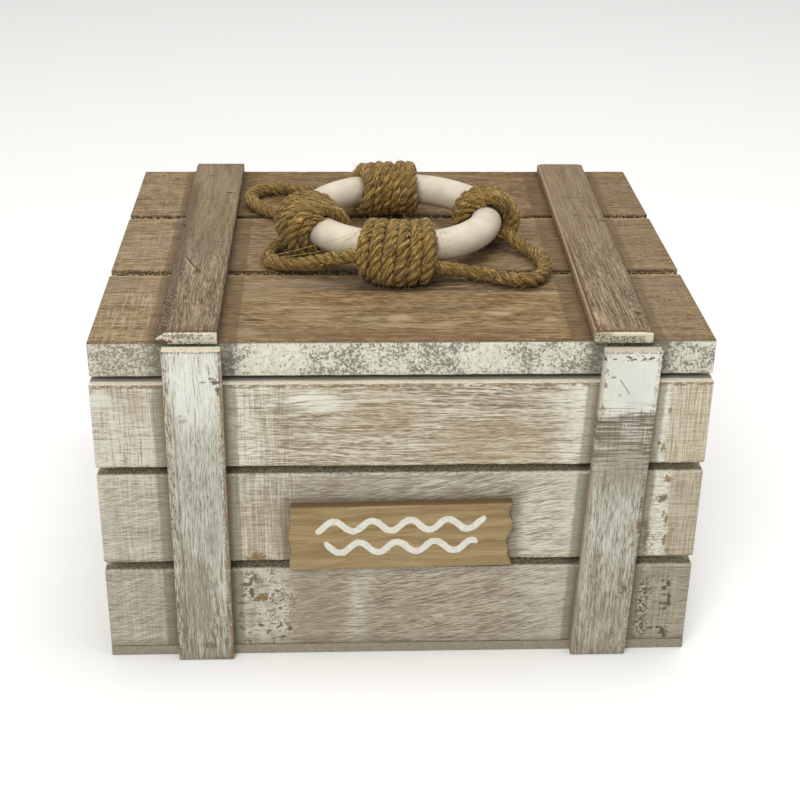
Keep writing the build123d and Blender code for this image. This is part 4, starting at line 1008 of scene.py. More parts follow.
# ------------------------------------------------------------------ lid battens
def lid_batten_mat(name, seed, side):
    g = Graph(name, (0.97, 0.925, 0.85))
    fine, mid, tiny = grain(g, "Y", seed)
    hair = g.hair
    low = g.noise(g.at(0.07, 0.025, 0.05, seed + 1), 1.0, 2.0)
    wavy = g.noise(g.at(0.30, 0.020, 0.3, seed + 2), 1.0, 2.0, 0.5, 1.2)
    ring = g.math("ABSOLUTE", g.math("SINE", wavy * 40.0))
    s1 = g.noise(g.at(1.1, 1.1, 1.1, seed + 3), 1.0, 4.0, 0.72)
    front = g.smooth(g.y, 20.0, -50.0)
    col = g.mix(g.smooth(mid, 0.32, 0.68), (0.160, 0.116, 0.066), (0.250, 0.186, 0.112))
    col = g.mix(g.smooth(low, 0.42, 0.60) * 0.4, col, (0.235, 0.190, 0.135))
    col = g.mix(g.smooth(fine, 0.49, 0.34) * (front * 0.50 + 0.30), col, (0.070, 0.047, 0.026))
    col = g.mix(g.smooth(fine, 0.53, 0.68) * (front * 0.45 + 0.20), col, (0.36, 0.295, 0.215))
    col = g.mix(g.smooth(hair, 0.54, 0.62) * (front * 0.40 + 0.18), col, (0.40, 0.325, 0.225))
    col = g.mix(g.smooth(hair, 0.46, 0.38) * (front * 0.55 + 0.22), col, (0.062, 0.042, 0.022))
    col = g.mix(g.smooth(g.pore, 0.54, 0.60) * (front * 0.25 + 0.12), col, (0.38, 0.31, 0.215))
    col = g.mix(g.smooth(g.pore, 0.46, 0.40) * (front * 0.35 + 0.15), col, (0.075, 0.050, 0.028))
    col = g.mix(g.smooth(ring, 0.26, 0.05) * 0.34, col, (0.080, 0.055, 0.032))
    col = g.mix(g.smooth(s1, 0.62, 0.70) * 0.25, col, (0.38, 0.31, 0.225))
    warp = g.noise(g.at(0.35, 0.35, 0.35, seed + 4), 1.0, 3.0, 0.6)
    dk = (0.040, 0.026, 0.013)
    if side < 0:
        xl = g.x + 86.2
        # darker waney left edge: worn wood, with painted shade on the bevel
        wane = g.smooth(xl + (warp - 0.5) * 3.4, 5.6, 3.4) * g.smooth(g.y, 72.0, 58.0)
        col = g.mix(wane * 0.58, col, (0.092, 0.064, 0.038))
        grit = g.smooth(xl + (warp - 0.5) * 5, 7.0, 2.6) * g.smooth(g.y, -48.0, -62.0)
        col = g.mix(grit * g.smooth(s1, 0.54, 0.44) * 0.85, col, dk)
        col = g.mix(grit * g.smooth(s1, 0.55, 0.62) * 0.7, col, (0.46, 0.38, 0.255))
        col = g.mix(g.smooth(g.y, -84.0, -91.5) * 0.55 * g.smooth(fine, 0.62, 0.40), col, (0.090, 0.055, 0.028))
        # grey smudge round the middle
        col = g.mix(g.blob(g.x, g.y, -74.5, -10.0, 5.0, 16.0, warp, 0.7, 0.5) * 0.40, col, (0.125, 0.110, 0.090))
        col = g.mix(g.blob(g.x, g.y, -74.0, 66.0, 8.0, 16.0, warp, 0.4, 0.5) * 0.30, col, (0.245, 0.205, 0.155))
        for x, y, a, b, k, c in ((-68.8, 53.2, 1.5, 0.9, 0.95, dk), (-68.4, 55.0, 2.0, 0.5, 0.6, (0.40, 0.30, 0.20)),
                                 (-78.6, 76.0, 2.0, 0.35, 0.7, dk), (-70.2, 91.6, 1.6, 0.6, 0.8, dk),
                                 (-69.8, -6.0, 3.2, 0.3, 0.75, dk), (-75.6, -37.4, 1.4, 2.0, 0.7, dk),
                                 (-78.5, -62.0, 0.6, 2.2, 0.7, dk), (-72.0, -66.0, 0.4, 3.0, 0.6, dk), (-76.5, -57.0, 1.0, 0.6, 0.6, dk)):
            col = g.mix(g.blob(g.x, g.y, x, y, a, b, warp, 0.9, 0.35) * k, col, c)
        slant = (g.x + 78.2) + (g.y + 30.4) * 0.40
        gouge = g.near(slant, 0.0, 0.25, 0.30) * g.near(g.y, -29.8, 6.2, 1.2)
        col = g.mix(gouge * 0.85, col, dk)
        gl = g.near(slant, -0.85, 0.22, 0.3) * g.near(g.y, -29.8, 6.0, 1.2)
        col = g.mix(gl * 0.55, col, (0.40, 0.325, 0.23))
        edge = g.near(g.x, -65.0, 0.5, 0.4)
        col = g.mix(edge * g.smooth(s1, 0.50, 0.42) * 0.6, col, dk)
        end_y, ink = -93.4, -92.6
    else:
        dxr = g.x - (76.6 + (g.y + 95.0) * 0.0175)
        wane = g.smooth(g.math("ABSOLUTE", dxr) + (warp - 0.5) * 1.5, 8.6, 10.0)
        col = g.mix(wane * 0.25, col, (0.092, 0.062, 0.038))
        # painted light: the left side face and its arris are paler, as if lit
        edge = g.near(dxr, -10.0, 0.45, 0.35)
        col = g.mix(edge * 0.60, col, (0.36, 0.255, 0.145))
        col = g.mix(g.near(dxr, -9.1, 0.18, 0.25) * g.smooth(g.y, 10.0, -20.0) * 0.85, col, (0.058, 0.036, 0.018))
        grit = g.smooth(dxr + (warp - 0.5) * 6, 1.0, 7.0) * g.smooth(g.y, -44.0, -70.0)
        col = g.mix(grit * g.smooth(s1, 0.53, 0.43) * 0.7, col, dk)
        col = g.mix(grit * g.smooth(s1, 0.57, 0.65) * 0.45, col, (0.42, 0.345, 0.245))
        for x, y, a, b, k, c in ((87.6, 18.5, 1.9, 0.8, 0.9, dk), (84.6, 22.5, 3.0, 0.45, 0.6, dk), (77.4, 25.0, 1.6, 0.5, 0.9, dk),
                                 (80.0, 46.6, 4.4, 0.4, 0.5, dk), (74.4, 47.6, 2.4, 0.35, 0.45, dk), (83.0, 42.0, 5.5, 0.35, 0.4, dk),
                                 (69.0, -80.0, 0.7, 5.0, 0.75, (0.44, 0.36, 0.25)), (70.6, -84.0, 1.0, 3.4, 0.5, (0.40, 0.32, 0.22)),
                                 (84.2, -77.4, 1.6, 0.8, 0.8, dk), (83.4, -74.2, 1.2, 0.4, 0.6, (0.44, 0.36, 0.25))):
            col = g.mix(g.blob(g.x, g.y, x, y, a, b, warp, 0.9, 0.35) * k, col, c)
        end_y, ink = -94.2, -93.6
    # painted, chipped front end
    end = g.smooth(g.y + (s1 - 0.5) * 0.5, end_y + 0.25, end_y - 0.15)
    if side > 0:
        white = g.mix(g.smooth(s1, 0.52, 0.42), (0.44, 0.42, 0.34), (0.14, 0.115, 0.078))
        white = g.mix(g.near(g.z, 133.5, 0.35, 0.35) * g.smooth(g.x, 71.0, 73.5), white, (0.66, 0.625, 0.49))
        white = g.mix(g.blob(g.x, g.z, 85.4, 132.0, 1.5, 1.7, s1, 0.3, 0.2), white, (0.64, 0.61, 0.50))
    else:
        white = g.mix(g.smooth(s1, 0.49, 0.39), (0.63, 0.62, 0.54), (0.17, 0.135, 0.09))
        white = g.mix(g.blob(g.x, g.z, -84.4, 131.0, 3.0, 1.1, s1, 0.9, 0.25), white, (0.10, 0.075, 0.045))
        white = g.mix(g.blob(g.x, g.z, -77.5, 133.2, 5.0, 0.8, s1, 1.4, 0.4) * 0.75, white, (0.20, 0.165, 0.115))
    col = g.mix(end, col, white)
    line = g.near(g.y, ink + 0.7, 0.45, 0.5) * g.smooth(s1, 0.62, 0.46) * g.smooth(g.z, 132.8, 133.4)
    col = g.mix(line * 0.85, col, (0.095, 0.046, 0.017))
    h = fine * 0.5 + hair * 0.4 + g.smooth(ring, 0.24, 0.0) * -0.2 + s1 * 0.25
    return g.done(col, 0.72, g.bump(h, 0.30, 0.9), 0.3)


MU = lambda u, v, w: (v, u, w)


def smooth01(t):
    t = max(0.0, min(1.0, t))
    return t * t * (3 - 2 * t)


def left_drop(u, v):
    """Waney left edge, dug out by the notch and chipped towards the front."""
    edge = v + 86.25
    k = smooth01((62.0 - u) / 20.0)
    wid = 3.6 + 1.2 * n3(u / 9, 3.3) + (1.6 if abs(u - 17) < 4 else 0.0)
    d = 2.1 * k * smooth01((wid - edge) / wid)
    if u < -56 and edge < 6:
        d += 0.7 * max(0.0, n3(u / 1.7, v / 1.7, 5.0)) * smooth01((6 - edge) / 4)
    return d


def left_lo(u):
    base = -86.3 + 0.0 * u
    notch = 1.3 * math.exp(-((u - 17.0) / 2.4) ** 2)
    return base + notch + 0.25 * (n3(u / 11, 1.0) + 0.5)


v, f = board_mesh(MU, -94.2, 93.6, left_lo, lambda u: -64.8, 130.0, 134.2, 0.55, 1.5, 0.15, 0.25, 70.0, left_drop, endr=0.45)
finish_mesh("lid_batten_left_board", v, f, lid_batten_mat("lid_batten_left", 130.0, -1), "lid", ["lid_batten_left"])


def right_drop(u, v):
    mid = 76.55 + (u + 95.0) * 0.0175
    e = v - mid
    d = 0.35 * smooth01((abs(e) - 7.6) / 2.6)
    if u < -60 and e > 3:
        d += 0.5 * max(0.0, n3(u / 1.7, v / 1.7, 9.0))
    return d


v, f = board_mesh(MU, -95.0, 93.6, lambda u: 66.2 + (u + 95.0) * 0.0175, lambda u: 86.9 + (u + 95.0) * 0.0175,
                  130.0, 134.0, 0.45, 1.5, 0.12, 0.2, 80.0, right_drop, endr=0.4)
finish_mesh("lid_batten_right_board", v, f, lid_batten_mat("lid_batten_right", 140.0, 1), "lid", ["lid_batten_right"])


# ------------------------------------------------------------------ front battens
def front_batten_mat(name, seed, side):
    g = Graph(name)
    fine, mid, tiny = grain(g, "Z", seed)
    hair = g.hair
    low = g.noise(g.at(0.06, 0.06, 0.025, seed + 1), 1.0, 2.0)
    s1 = g.noise(g.at(1.1, 1.1, 1.1, seed + 3), 1.0, 4.0, 0.72)
    warp = g.noise(g.at(0.35, 0.35, 0.35, seed + 4), 1.0, 3.0, 0.6)
    blot = g.noise(g.at(0.14, 0.14, 0.10, seed + 5), 1.0, 3.0, 0.6)
    grey = (0.36, 0.345, 0.285)
    wood = g.mix(g.smooth(mid, 0.32, 0.68), (0.200, 0.168, 0.118), (0.335, 0.298, 0.230))
    wood = g.mix(g.smooth(fine, 0.50, 0.32) * 0.6, wood, (0.120, 0.095, 0.062))
    wood = g.mix(g.smooth(fine, 0.53, 0.68) * 0.45, wood, (0.49, 0.46, 0.38))
    paint = g.mix(g.smooth(low + (blot - 0.5) * 0.5, 0.35, 0.65), (0.500, 0.500, 0.430), (0.630, 0.640, 0.570))
    paint = g.mix(g.smooth(fine, 0.45, 0.30) * 0.45, paint, grey)
    dk = (0.085, 0.06, 0.032)
    if side < 0:
        e = g.x + 73.75
        down = g.smooth(g.z, 122.0, 72.0)
        paint = g.mix(down * 0.74, paint, (0.300, 0.290, 0.232))
        c = g.smooth(g.z, 12.0, 78.0) * 0.42 + 0.36 + (blot - 0.5) * 0.5
        c = c + g.smooth(g.z, 88.0, 112.0) * 0.16
        amount = fine * 0.6 + mid * 0.3 + s1 * 0.30 - 0.60 + c
        mask = g.smooth(amount, 0.28, 0.72)
    else:
        e = bat_right(g)
        wv = g.noise(g.at(0.05, 0.3, 0.5, seed + 6), 1.0, 2.0)
        clean = g.smooth(g.z + (wv - 0.5) * 18.0 + (fine - 0.5) * 8.0, 101.5, 107.0)
        midband = g.blob(g.x, g.z, 80.0, 64.0, 10.5, 26.0, warp, 0.5, 0.6)
        paint = g.mix(clean * 0.6, paint, (0.665, 0.675, 0.605))
        paint = g.mix(g.smooth(g.z, 106.0, 98.0) * 0.62, paint, (0.350, 0.335, 0.268))
        c = 0.36 + clean * 0.75 + midband * 0.30 + (blot - 0.5) * 0.4
        amount = fine * 0.6 + mid * 0.3 + s1 * 0.30 - 0.60 + c
        scr = g.noise(g.at(0.06, 0.3, 1.3, seed + 7), 1.0, 4.0, 0.68)
        across = g.smooth(g.z, 112.0, 103.0) * g.smooth(g.z, 74.0, 92.0)
        amount = amount + (scr - 0.5) * across * 2.4
        mask = g.smooth(amount, 0.28, 0.72)
    col = g.mix(mask, wood, paint)
    q = 1.0 if side < 0 else g.smooth(g.z, 107.0, 102.0) * (1.0 - across * 0.7)
    col = g.mix(g.smooth(hair, 0.54, 0.63) * (0.50 if side < 0 else q * 0.50), col, (0.60, 0.59, 0.505))
    col = g.mix(g.smooth(hair, 0.45, 0.36) * (0.56 if side < 0 else q * 0.62), col, (0.145, 0.118, 0.080))
    col = g.mix(g.smooth(s1, 0.62, 0.70) * (0.30 if side < 0 else q * 0.30), col, (0.62, 0.60, 0.51))
    r_ = 1.0 if side < 0 else q
    col = g.mix(g.smooth(g.pore, 0.53, 0.60) * (0.42 if side < 0 else r_ * 0.46), col, (0.58, 0.57, 0.49))
    col = g.mix(g.smooth(g.pore, 0.46, 0.40) * (0.54 if side < 0 else r_ * 0.60), col, (0.135, 0.112, 0.078))
    if side < 0:
        # bright worn paint at the top and along the right arris
        col = g.mix(g.blob(g.x, g.z, -73.5, 114.0, 7.5, 14.0, blot, 0.5, 0.5) * g.smooth(fine, 0.36, 0.50) * 0.62, col, (0.70, 0.715, 0.655))
        col = g.mix(g.blob(g.x, g.z, -66.5, 42.0, 1.6, 24.0, warp, 0.6, 0.5) * g.smooth(fine, 0.40, 0.56) * 0.62, col, (0.61, 0.60, 0.52))
        col = g.mix(g.blob(g.x, g.z, -75.5, 26.0, 5.0, 16.0, blot, 0.7, 0.5) * 0.38, col, (0.235, 0.205, 0.155))
        col = g.mix(g.blob(g.x, g.z, -68.5, 54.0, 4.0, 7.0, blot, 0.9, 0.5) * 0.40, col, (0.255, 0.245, 0.20))
        # speckled left border, ochre right arris
        lb = g.smooth(e + (warp - 0.5) * 2.2, -7.6, -8.8)
        col = g.mix(lb * 0.46, col, (0.235, 0.195, 0.135))
        col = g.mix(lb * g.smooth(g.pore + (s1 - 0.5) * 0.5, 0.50, 0.42) * 0.75, col, (0.130, 0.092, 0.055))
        col = g.mix(lb * g.smooth(g.pore + (s1 - 0.5) * 0.8, 0.55, 0.62) * 0.6, col, (0.58, 0.52, 0.40))
        col = g.mix(g.near(e, -6.9, 0.16, 0.3) * g.smooth(g.z, 118.0, 110.0) * 0.5, col, (0.17, 0.14, 0.10))
        rb = g.near(e, 10.0, 0.5, 0.3) * g.smooth(warp, 0.36, 0.50)
        col = g.mix(rb * 0.7, col, (0.235, 0.130, 0.045))
        col = g.mix(g.near(e, 9.2, 0.45, 0.5) * g.smooth(s1, 0.50, 0.40) * 0.7, col, dk)
        for x, z, a, b, k in ((-65.8, 117.8, 1.4, 0.9, 0.9), (-64.8, 114.8, 0.7, 1.6, 0.8), (-66.6, 119.4, 0.8, 0.4, 0.7),
                              (-77.6, 102.6, 1.1, 1.3, 0.45), (-78.4, 104.8, 0.7, 0.6, 0.4),
                              (-71.5, 6.6, 2.6, 1.3, 0.5), (-70.0, 118.0, 1.2, 0.3, 0.6), (-67.6, 122.0, 0.3, 2.4, 0.5),
                              (-80.2, 66.0, 0.4, 4.0, 0.5), (-66.0, 8.5, 1.0, 1.6, 0.4), (-71.0, 125.0, 0.25, 2.6, 0.45)):
            col = g.mix(g.blob(g.x, g.z, x, z, a, b, g.chip, 2.0, 0.4) * k, col, dk)
    else:
        lb = g.near(e, -9.9, 0.55, 0.4) * g.smooth(g.z, 129.0, 127.0)
        col = g.mix(lb * 0.5, col, (0.32, 0.235, 0.15))
        col = g.mix(g.near(e, -8.7, 0.35, 0.5) * g.smooth(warp + (s1 - 0.5) * 0.5, 0.50, 0.42) * g.smooth(g.z, 84.0, 94.0) * 0.70, col, dk)
        col = g.mix(g.near(e, 9.6, 0.6, 0.6) * g.smooth(s1, 0.53, 0.43) * 0.6, col, (0.17, 0.11, 0.055))
        leaf = g.noise(g.at(0.55, 0.4, 0.8, seed + 8), 1.0, 3.0, 0.6)
        col = g.mix(g.near(g.z, 126.4, 0.5, 1.2) * g.smooth(leaf, 0.54, 0.60) * 0.95, col, (0.09, 0.065, 0.045))
        # brush drag under the clean block
        col = g.mix(across * g.smooth(scr, 0.53, 0.59) * 0.58, col, (0.60, 0.59, 0.51))
        col = g.mix(across * g.smooth(scr, 0.49, 0.42) * 0.80, col, (0.110, 0.088, 0.058))
        drag = g.noise(g.at(0.16, 0.3, 1.5, seed + 9), 1.0, 3.0, 0.66)
        for zc, hw_, k in ((104.4, 0.25, 0.40), (103.0, 0.20, 0.35), (101.2, 0.55, 0.70), (98.2, 0.2, 0.45), (95.6, 0.35, 0.50), (92.6, 0.2, 0.4), (89.2, 0.3, 0.4)):
            wob = g.near(g.z + (blot - 0.5) * 2.4, zc, hw_, 0.6)
            col = g.mix(wob * g.smooth(drag, 0.58, 0.46) * k, col, (0.11, 0.085, 0.055))
        slant = (g.x - 77.4) + (g.z - 115.2) * 0.68
        col = g.mix(g.near(slant, 0.0, 0.14, 0.22) * g.near(g.z, 115.2, 2.6, 0.4) * 0.75, col, dk)
        for x, z, a, b, k in ((84.2, 30.2, 1.1, 1.6, 0.9), (83.0, 28.2, 0.8, 0.8, 0.8), (81.0, 26.6, 1.2, 0.8, 0.45), (73.0, 119.0, 0.9, 0.4, 0.7),
                              (87.4, 57.0, 0.8, 3.4, 0.7), (87.2, 68.0, 0.5, 3.0, 0.6), (74.0, 53.0, 0.4, 1.6, 0.6),
                              (76.0, 112.0, 0.5, 0.5, 0.5), (85.6, 50.0, 0.7, 1.0, 0.5)):
            col = g.mix(g.blob(g.x, g.z, x, z, a, b, g.chip, 2.0, 0.4) * k, col, (0.125, 0.070, 0.026))
        col = g.mix(g.blob(g.x, g.z, 80.0, 114.5, 6.0, 8.0, warp, 0.8, 0.6) * 0.20, col, (0.43, 0.45, 0.42))
        col = g.mix(g.blob(g.x, g.z, 79.0, 84.0, 8.5, 11.0, blot, 0.6, 0.5) * 0.44, col, (0.205, 0.172, 0.124))
        col = g.mix(g.blob(g.x, g.z, 77.0, 16.0, 9.0, 20.0, blot, 0.5, 0.5) * 0.25, col, (0.27, 0.24, 0.18))
    # top end: cream with a brown line at its front arris
    zt = 130.0 if side < 0 else 129.1
    cream = g.mix(g.smooth(s1, 0.46, 0.36), (0.55, 0.495, 0.375) if side < 0 else (0.44, 0.40, 0.32), (0.30, 0.225, 0.14))
    top = g.smooth(g.z, zt - 0.45, zt - 0.2)
    col = g.mix(top, col, cream)
    ar = g.near(g.z, zt - 0.75, 0.22, 0.3)
    col = g.mix(ar * 0.65 * g.smooth(s1, 0.62, 0.44), col, (0.12, 0.08, 0.04))
    col = g.mix(g.smooth(g.z, 9.0, 0.5) * 0.25, col, (0.17, 0.14, 0.10))
    h = fine * 0.5 + s1 * 0.25 + hair * 0.4 + mask * 0.3
    return g.done(col, 0.74, g.bump(h, 0.28, 0.9), 0.3)


MF = lambda u, v, w: (v, -w, u)
v, f = board_mesh(MF, 0.0, 130.0, lambda u: -84.2 + 0.2 * u / 130, lambda u: -63.3 - 0.1 * u / 130, 95.4, 99.4,
                  0.6, 1.5, 0.16, 0.22, 90.0, endr=0.5)
finish_mesh("front_batten_left_board", v, f, front_batten_mat("front_batten_left", 150.0, -1), "chest", ["front_batten_left"])
v, f = board_mesh(MF, 0.0, 129.1, lambda u: 65.6 + 3.9 * u / 129.1, lambda u: 86.7 + 3.2 * u / 129.1, 95.4, 99.4,
                  0.5, 1.5, 0.14, 0.22, 95.0, endr=0.4)
finish_mesh("front_batten_right_board", v, f, front_batten_mat("front_batten_right", 160.0, 1), "chest", ["front_batten_right"])

m_bb = paint_wood("back_batten", "Z", 7.0, cover_wall)
MBB = lambda u, v, w: (v, w, u)
for nm, x in (("left", -74.0), ("right", 76.0)):
    v, f = board_mesh(MBB, 0.0, 115.0, x - 10.3, x + 10.3, 94.6, 98.6, 0.5, 1.8, 0.15, 0.22, 100.0 + x, endr=0.4)
    finish_mesh("back_batten_" + nm + "_board", v, f, m_bb, "chest", ["back_batten_" + nm])

# ------------------------------------------------------------------ name board
TILT = math.radians(0.95)
SX, SZ = -0.4, 53.8


def sign_mat():
    g = Graph("name_board", (0.725, 0.70, 0.555))
    ct, st = math.cos(TILT), math.sin(TILT)
    dx, dz = g.x - SX, g.z - SZ
    p = dx * ct + dz * st
    q = dz * ct - dx * st
    src = g.vec(p, g.y, q)
    wander = g.noise(g.at(0.03, 0.1, 0.10, 171.0, src), 1.0, 2.0)
    src2 = g.vec(p, g.y, q + (wander - 0.5) * 7.0)
    fine = g.noise(g.at(0.10, 0.5, 1.9, 172.0, src2), 1.0, 3.0, 0.6)
    band = g.noise(g.at(0.03, 0.3, 0.42, 173.0, src2), 1.0, 2.0, 0.5)
    pore = g.noise(g.at(0.5, 0.5, 4.5, 174.0, src2), 1.0, 2.0, 0.6)
    col = g.mix(g.smooth(band, 0.33, 0.68), (0.300, 0.205, 0.105), (0.440, 0.330, 0.195))
    col = g.mix(g.smooth(fine, 0.47, 0.32) * 0.5, col, (0.19, 0.12, 0.055))
    col = g.mix(g.smooth(fine, 0.56, 0.70) * 0.35, col, (0.53, 0.42, 0.27))
    col = g.mix(g.smooth(pore, 0.40, 0.28) * 0.45, col, (0.17, 0.10, 0.045))
    lowleft = g.smooth(q, -4.0, -12.0)
    col = g.mix(lowleft * 0.25, col, (0.46, 0.36, 0.23))
    # plain painted waves
    brush = g.noise(g.at(0.5, 0.5, 0.5, 175.0), 1.0, 2.0)
    white = None
    for q0, half, ph, k in ((4.9, 30.0, 0.0, 1.0), (-4.3, 27.0, 2.2, 1.0)):
        a = 2.1
        w = 2 * math.pi / 14.0
        arg = p * w + ph
        line = g.math("SINE", arg) * a
        slope = g.math("COSINE", arg) * (a * w)
        d = g.math("ABSOLUTE", q - q0 - line) / g.math("SQRT", slope * slope + 1.0)
        over = g.math("MAXIMUM", g.math("ABSOLUTE", p) - half, 0.0)
        d = g.math("SQRT", d * d + over * over)
        t = g.smooth(d + (brush - 0.5) * 1.1, 1.42, 1.22)
        white = t if white is None else g.maximum(white, t)
    wcol = g.mix(g.smooth(brush, 0.35, 0.65), (0.78, 0.79, 0.84), (0.88, 0.90, 1.0))
    face = g.smooth(g.y, F - 2.5, F - 2.8)
    col = g.mix(white * face, col, wcol)
    # the top edge and the end faces are darker
    top_edge = g.smooth(q, 13.1, 13.35)
    col = g.mix(top_edge * 0.88, col, (0.135, 0.076, 0.032))
    ends = g.smooth(g.y, F - 2.6, F - 2.2)
    col = g.mix(ends * 0.5, col, (0.20, 0.13, 0.06))
    return g.done(col, 0.55, g.bump(fine * 0.5 + pore * 0.4 + white * 0.5, 0.16, 0.8), 0.35)


def sign_mesh():
    hw, hh = 41.3, 13.6
    right_end = [(hw - 0.3, hh), (hw - 1.0, hh - 2.2), (hw - 1.7, hh - 4.6), (hw - 0.9, hh - 7.2), (hw - 0.1, hh - 9.4),
                 (hw - 0.5, hh - 12.0), (hw - 1.7, hh - 14.2), (hw - 2.3, hh - 16.2), (hw - 2.0, hh - 18.4), (hw - 1.6, hh - 20.4),
                 (hw - 1.9, hh - 22.0), (hw - 1.1, hh - 24.2), (hw - 0.4, hh - 26.0), (hw - 0.05, -hh)]
    left_end = [(-hw + 0.5, -hh), (-hw + 0.05, -hh + 2.6), (-hw + 0.3, -hh + 5.6), (-hw + 0.9, -hh + 8.4), (-hw + 0.6, -hh + 11.0),
                (-hw + 0.1, -hh + 13.6), (-hw + 0.2, -hh + 16.4), (-hw + 0.9, -hh + 18.8), (-hw + 0.7, -hh + 21.4),
                (-hw + 1.1, -hh + 24.0), (-hw + 1.2, hh)]

    def soft(pts):
        out = []
        for i in range(len(pts) - 1):
            p0, p1, p2, p3 = (Vector(pts[max(0, min(len(pts) - 1, i + k))]) for k in (-1, 0, 1, 2))
            for j in range(4):
                t = j / 4
                out.append(0.5 * ((2 * p1) + (p2 - p0) * t + (2 * p0 - 5 * p1 + 4 * p2 - p3) * t * t
                                  + (3 * p1 - p0 - 3 * p2 + p3) * t ** 3))
        return out + [Vector(pts[-1])]

    r, l = soft(right_end), soft(left_end)
    n = len(r)
    # rows run across from the left end to the right end at matching heights
    def at(line, s):
        s = max(0.0, min(1.0, s)) * (len(line) - 1)
        i = min(int(s), len(line) - 2)
        return line[i].lerp(line[i + 1], s - i)
    rows, cols = 24, 60
    verts, faces = [], []
    ct, st = math.cos(TILT), math.sin(TILT)
    for side, w in ((0, 95.4), (1, 98.4)):
        for i in range(rows + 1):
            s = i / rows
            a, b = at(l, 1 - s), at(r, s)
            for j in range(cols + 1):
                p = a.lerp(b, j / cols)
                lift = 0.0
                verts.append((SX + p.x * ct - p.y * st, -(w + lift), SZ + p.x * st + p.y * ct))
    k = (rows + 1) * (cols + 1)
    idx = lambda s, i, j: s * k + i * (cols + 1) + j
    for s in (0, 1):
        for i in range(rows):
            for j in range(cols):
                q = (idx(s, i, j), idx(s, i, j + 1), idx(s, i + 1, j + 1), idx(s, i + 1, j))
                faces.append(q if s else q[::-1])
    for j in range(cols):
        faces.append((idx(0, 0, j), idx(0, 0, j + 1), idx(1, 0, j + 1), idx(1, 0, j)))
        faces.append((idx(0, rows, j + 1), idx(0, rows, j), idx(1, rows, j), idx(1, rows, j + 1)))
    for i in range(rows):
        faces.append((idx(0, i + 1, 0), idx(0, i, 0), idx(1, i, 0), idx(1, i + 1, 0)))
        faces.append((idx(0, i, cols), idx(0, i + 1, cols), idx(1, i + 1, cols), idx(1, i, cols)))
    return verts, faces


v, f = sign_mesh()
ob = finish_mesh("sign_board_veneer", v, f, sign_mat(), "chest", ["sign_board"])
bevel(ob, 0.22, 2)

# ------------------------------------------------------------------ life ring
RC = Vector((1.9, F + 97.5, 141.6))
RR, Rr = 35.0, 6.2


def ring_mat():
    g = Graph("ring_paint", (0.715, 0.675, 0.620))
    a = g.math("ARCTAN2", g.y - RC.y, g.x - RC.x) * (180 / math.pi)
    low = g.noise(g.at(0.12, 0.12, 0.12, 181.0), 1.0, 2.0)
    s1 = g.noise(g.at(0.9, 0.9, 0.9, 182.0), 1.0, 3.0, 0.6)
    edge = g.cells(g.at(0.36, 0.36, 0.36, 183.0), 1.0, "DISTANCE_TO_EDGE")
    near = None
    under = None
    for c in (-92.55, 1.0, 97.0, 195.0):
        span = {-92.55: 25.2, 1.0: 13.5, 97.0: 23.5, 195.0: 17.0}[c]
        d = g.math("ABSOLUTE", g.math("WRAP", a - c, 180.0, -180.0))
        d.o.node.inputs[0].links[0].from_node.inputs[2].default_value = -180.0
        k = g.smooth(d, span + 9.0, span + 1.5)
        near = k if near is None else g.maximum(near, k)
        k = g.smooth(d, span - {-92.55: 4.5, 1.0: 1.0, 97.0: 4.0, 195.0: 3.5}[c], span - {-92.55: 7.0, 1.0: 3.0, 97.0: 6.5, 195.0: 6.0}[c])
        under = k if under is None else g.maximum(under, k)
    col = g.mix(g.smooth(low, 0.35, 0.65), (0.77, 0.715, 0.60), (0.84, 0.80, 0.70))
    col = g.mix(near * 0.30, col, (0.62, 0.54, 0.40))
    crack = g.smooth(edge, 0.035, 0.012) * g.smooth(s1, 0.40, 0.58)
    col = g.mix(crack * near * 0.75, col, (0.33, 0.26, 0.17))
    col = g.mix(g.smooth(s1, 0.66, 0.74) * 0.25, col, (0.50, 0.43, 0.31))
    # painted shade: the ring turns dark under the rope wraps
    col = g.mix(under * 0.94, col, (0.075, 0.052, 0.027))
    h = low * 0.8 - crack * near * 0.5 + s1 * 0.25
    return g.done(col, 0.42, g.bump(h, 0.22, 0.7), 0.45)


verts, faces = [], []
NU, NV = 220, 36
for i in range(NU):
    t = 2 * math.pi * i / NU
    for j in range(NV):
        q = 2 * math.pi * j / NV
        r = Rr - 0.10 * (0.5 + n3(math.cos(t) * 3 + 5, math.sin(t) * 3, math.cos(q) + math.sin(q) * 1.7))
        verts.append((RC.x + (RR + r * math.cos(q)) * math.cos(t), RC.y + (RR + r * math.cos(q)) * math.sin(t), RC.z + r * math.sin(q)))
for i in range(NU):
    for j in range(NV):
        a, b = i * NV + j, i * NV + (j + 1) % NV
        c, d = ((i + 1) % NU) * NV + (j + 1) % NV, ((i + 1) % NU) * NV + j
        faces.append((a, d, c, b))
finish_mesh("life_ring_paint", verts, faces, ring_mat(), "lid", ["life_ring"])

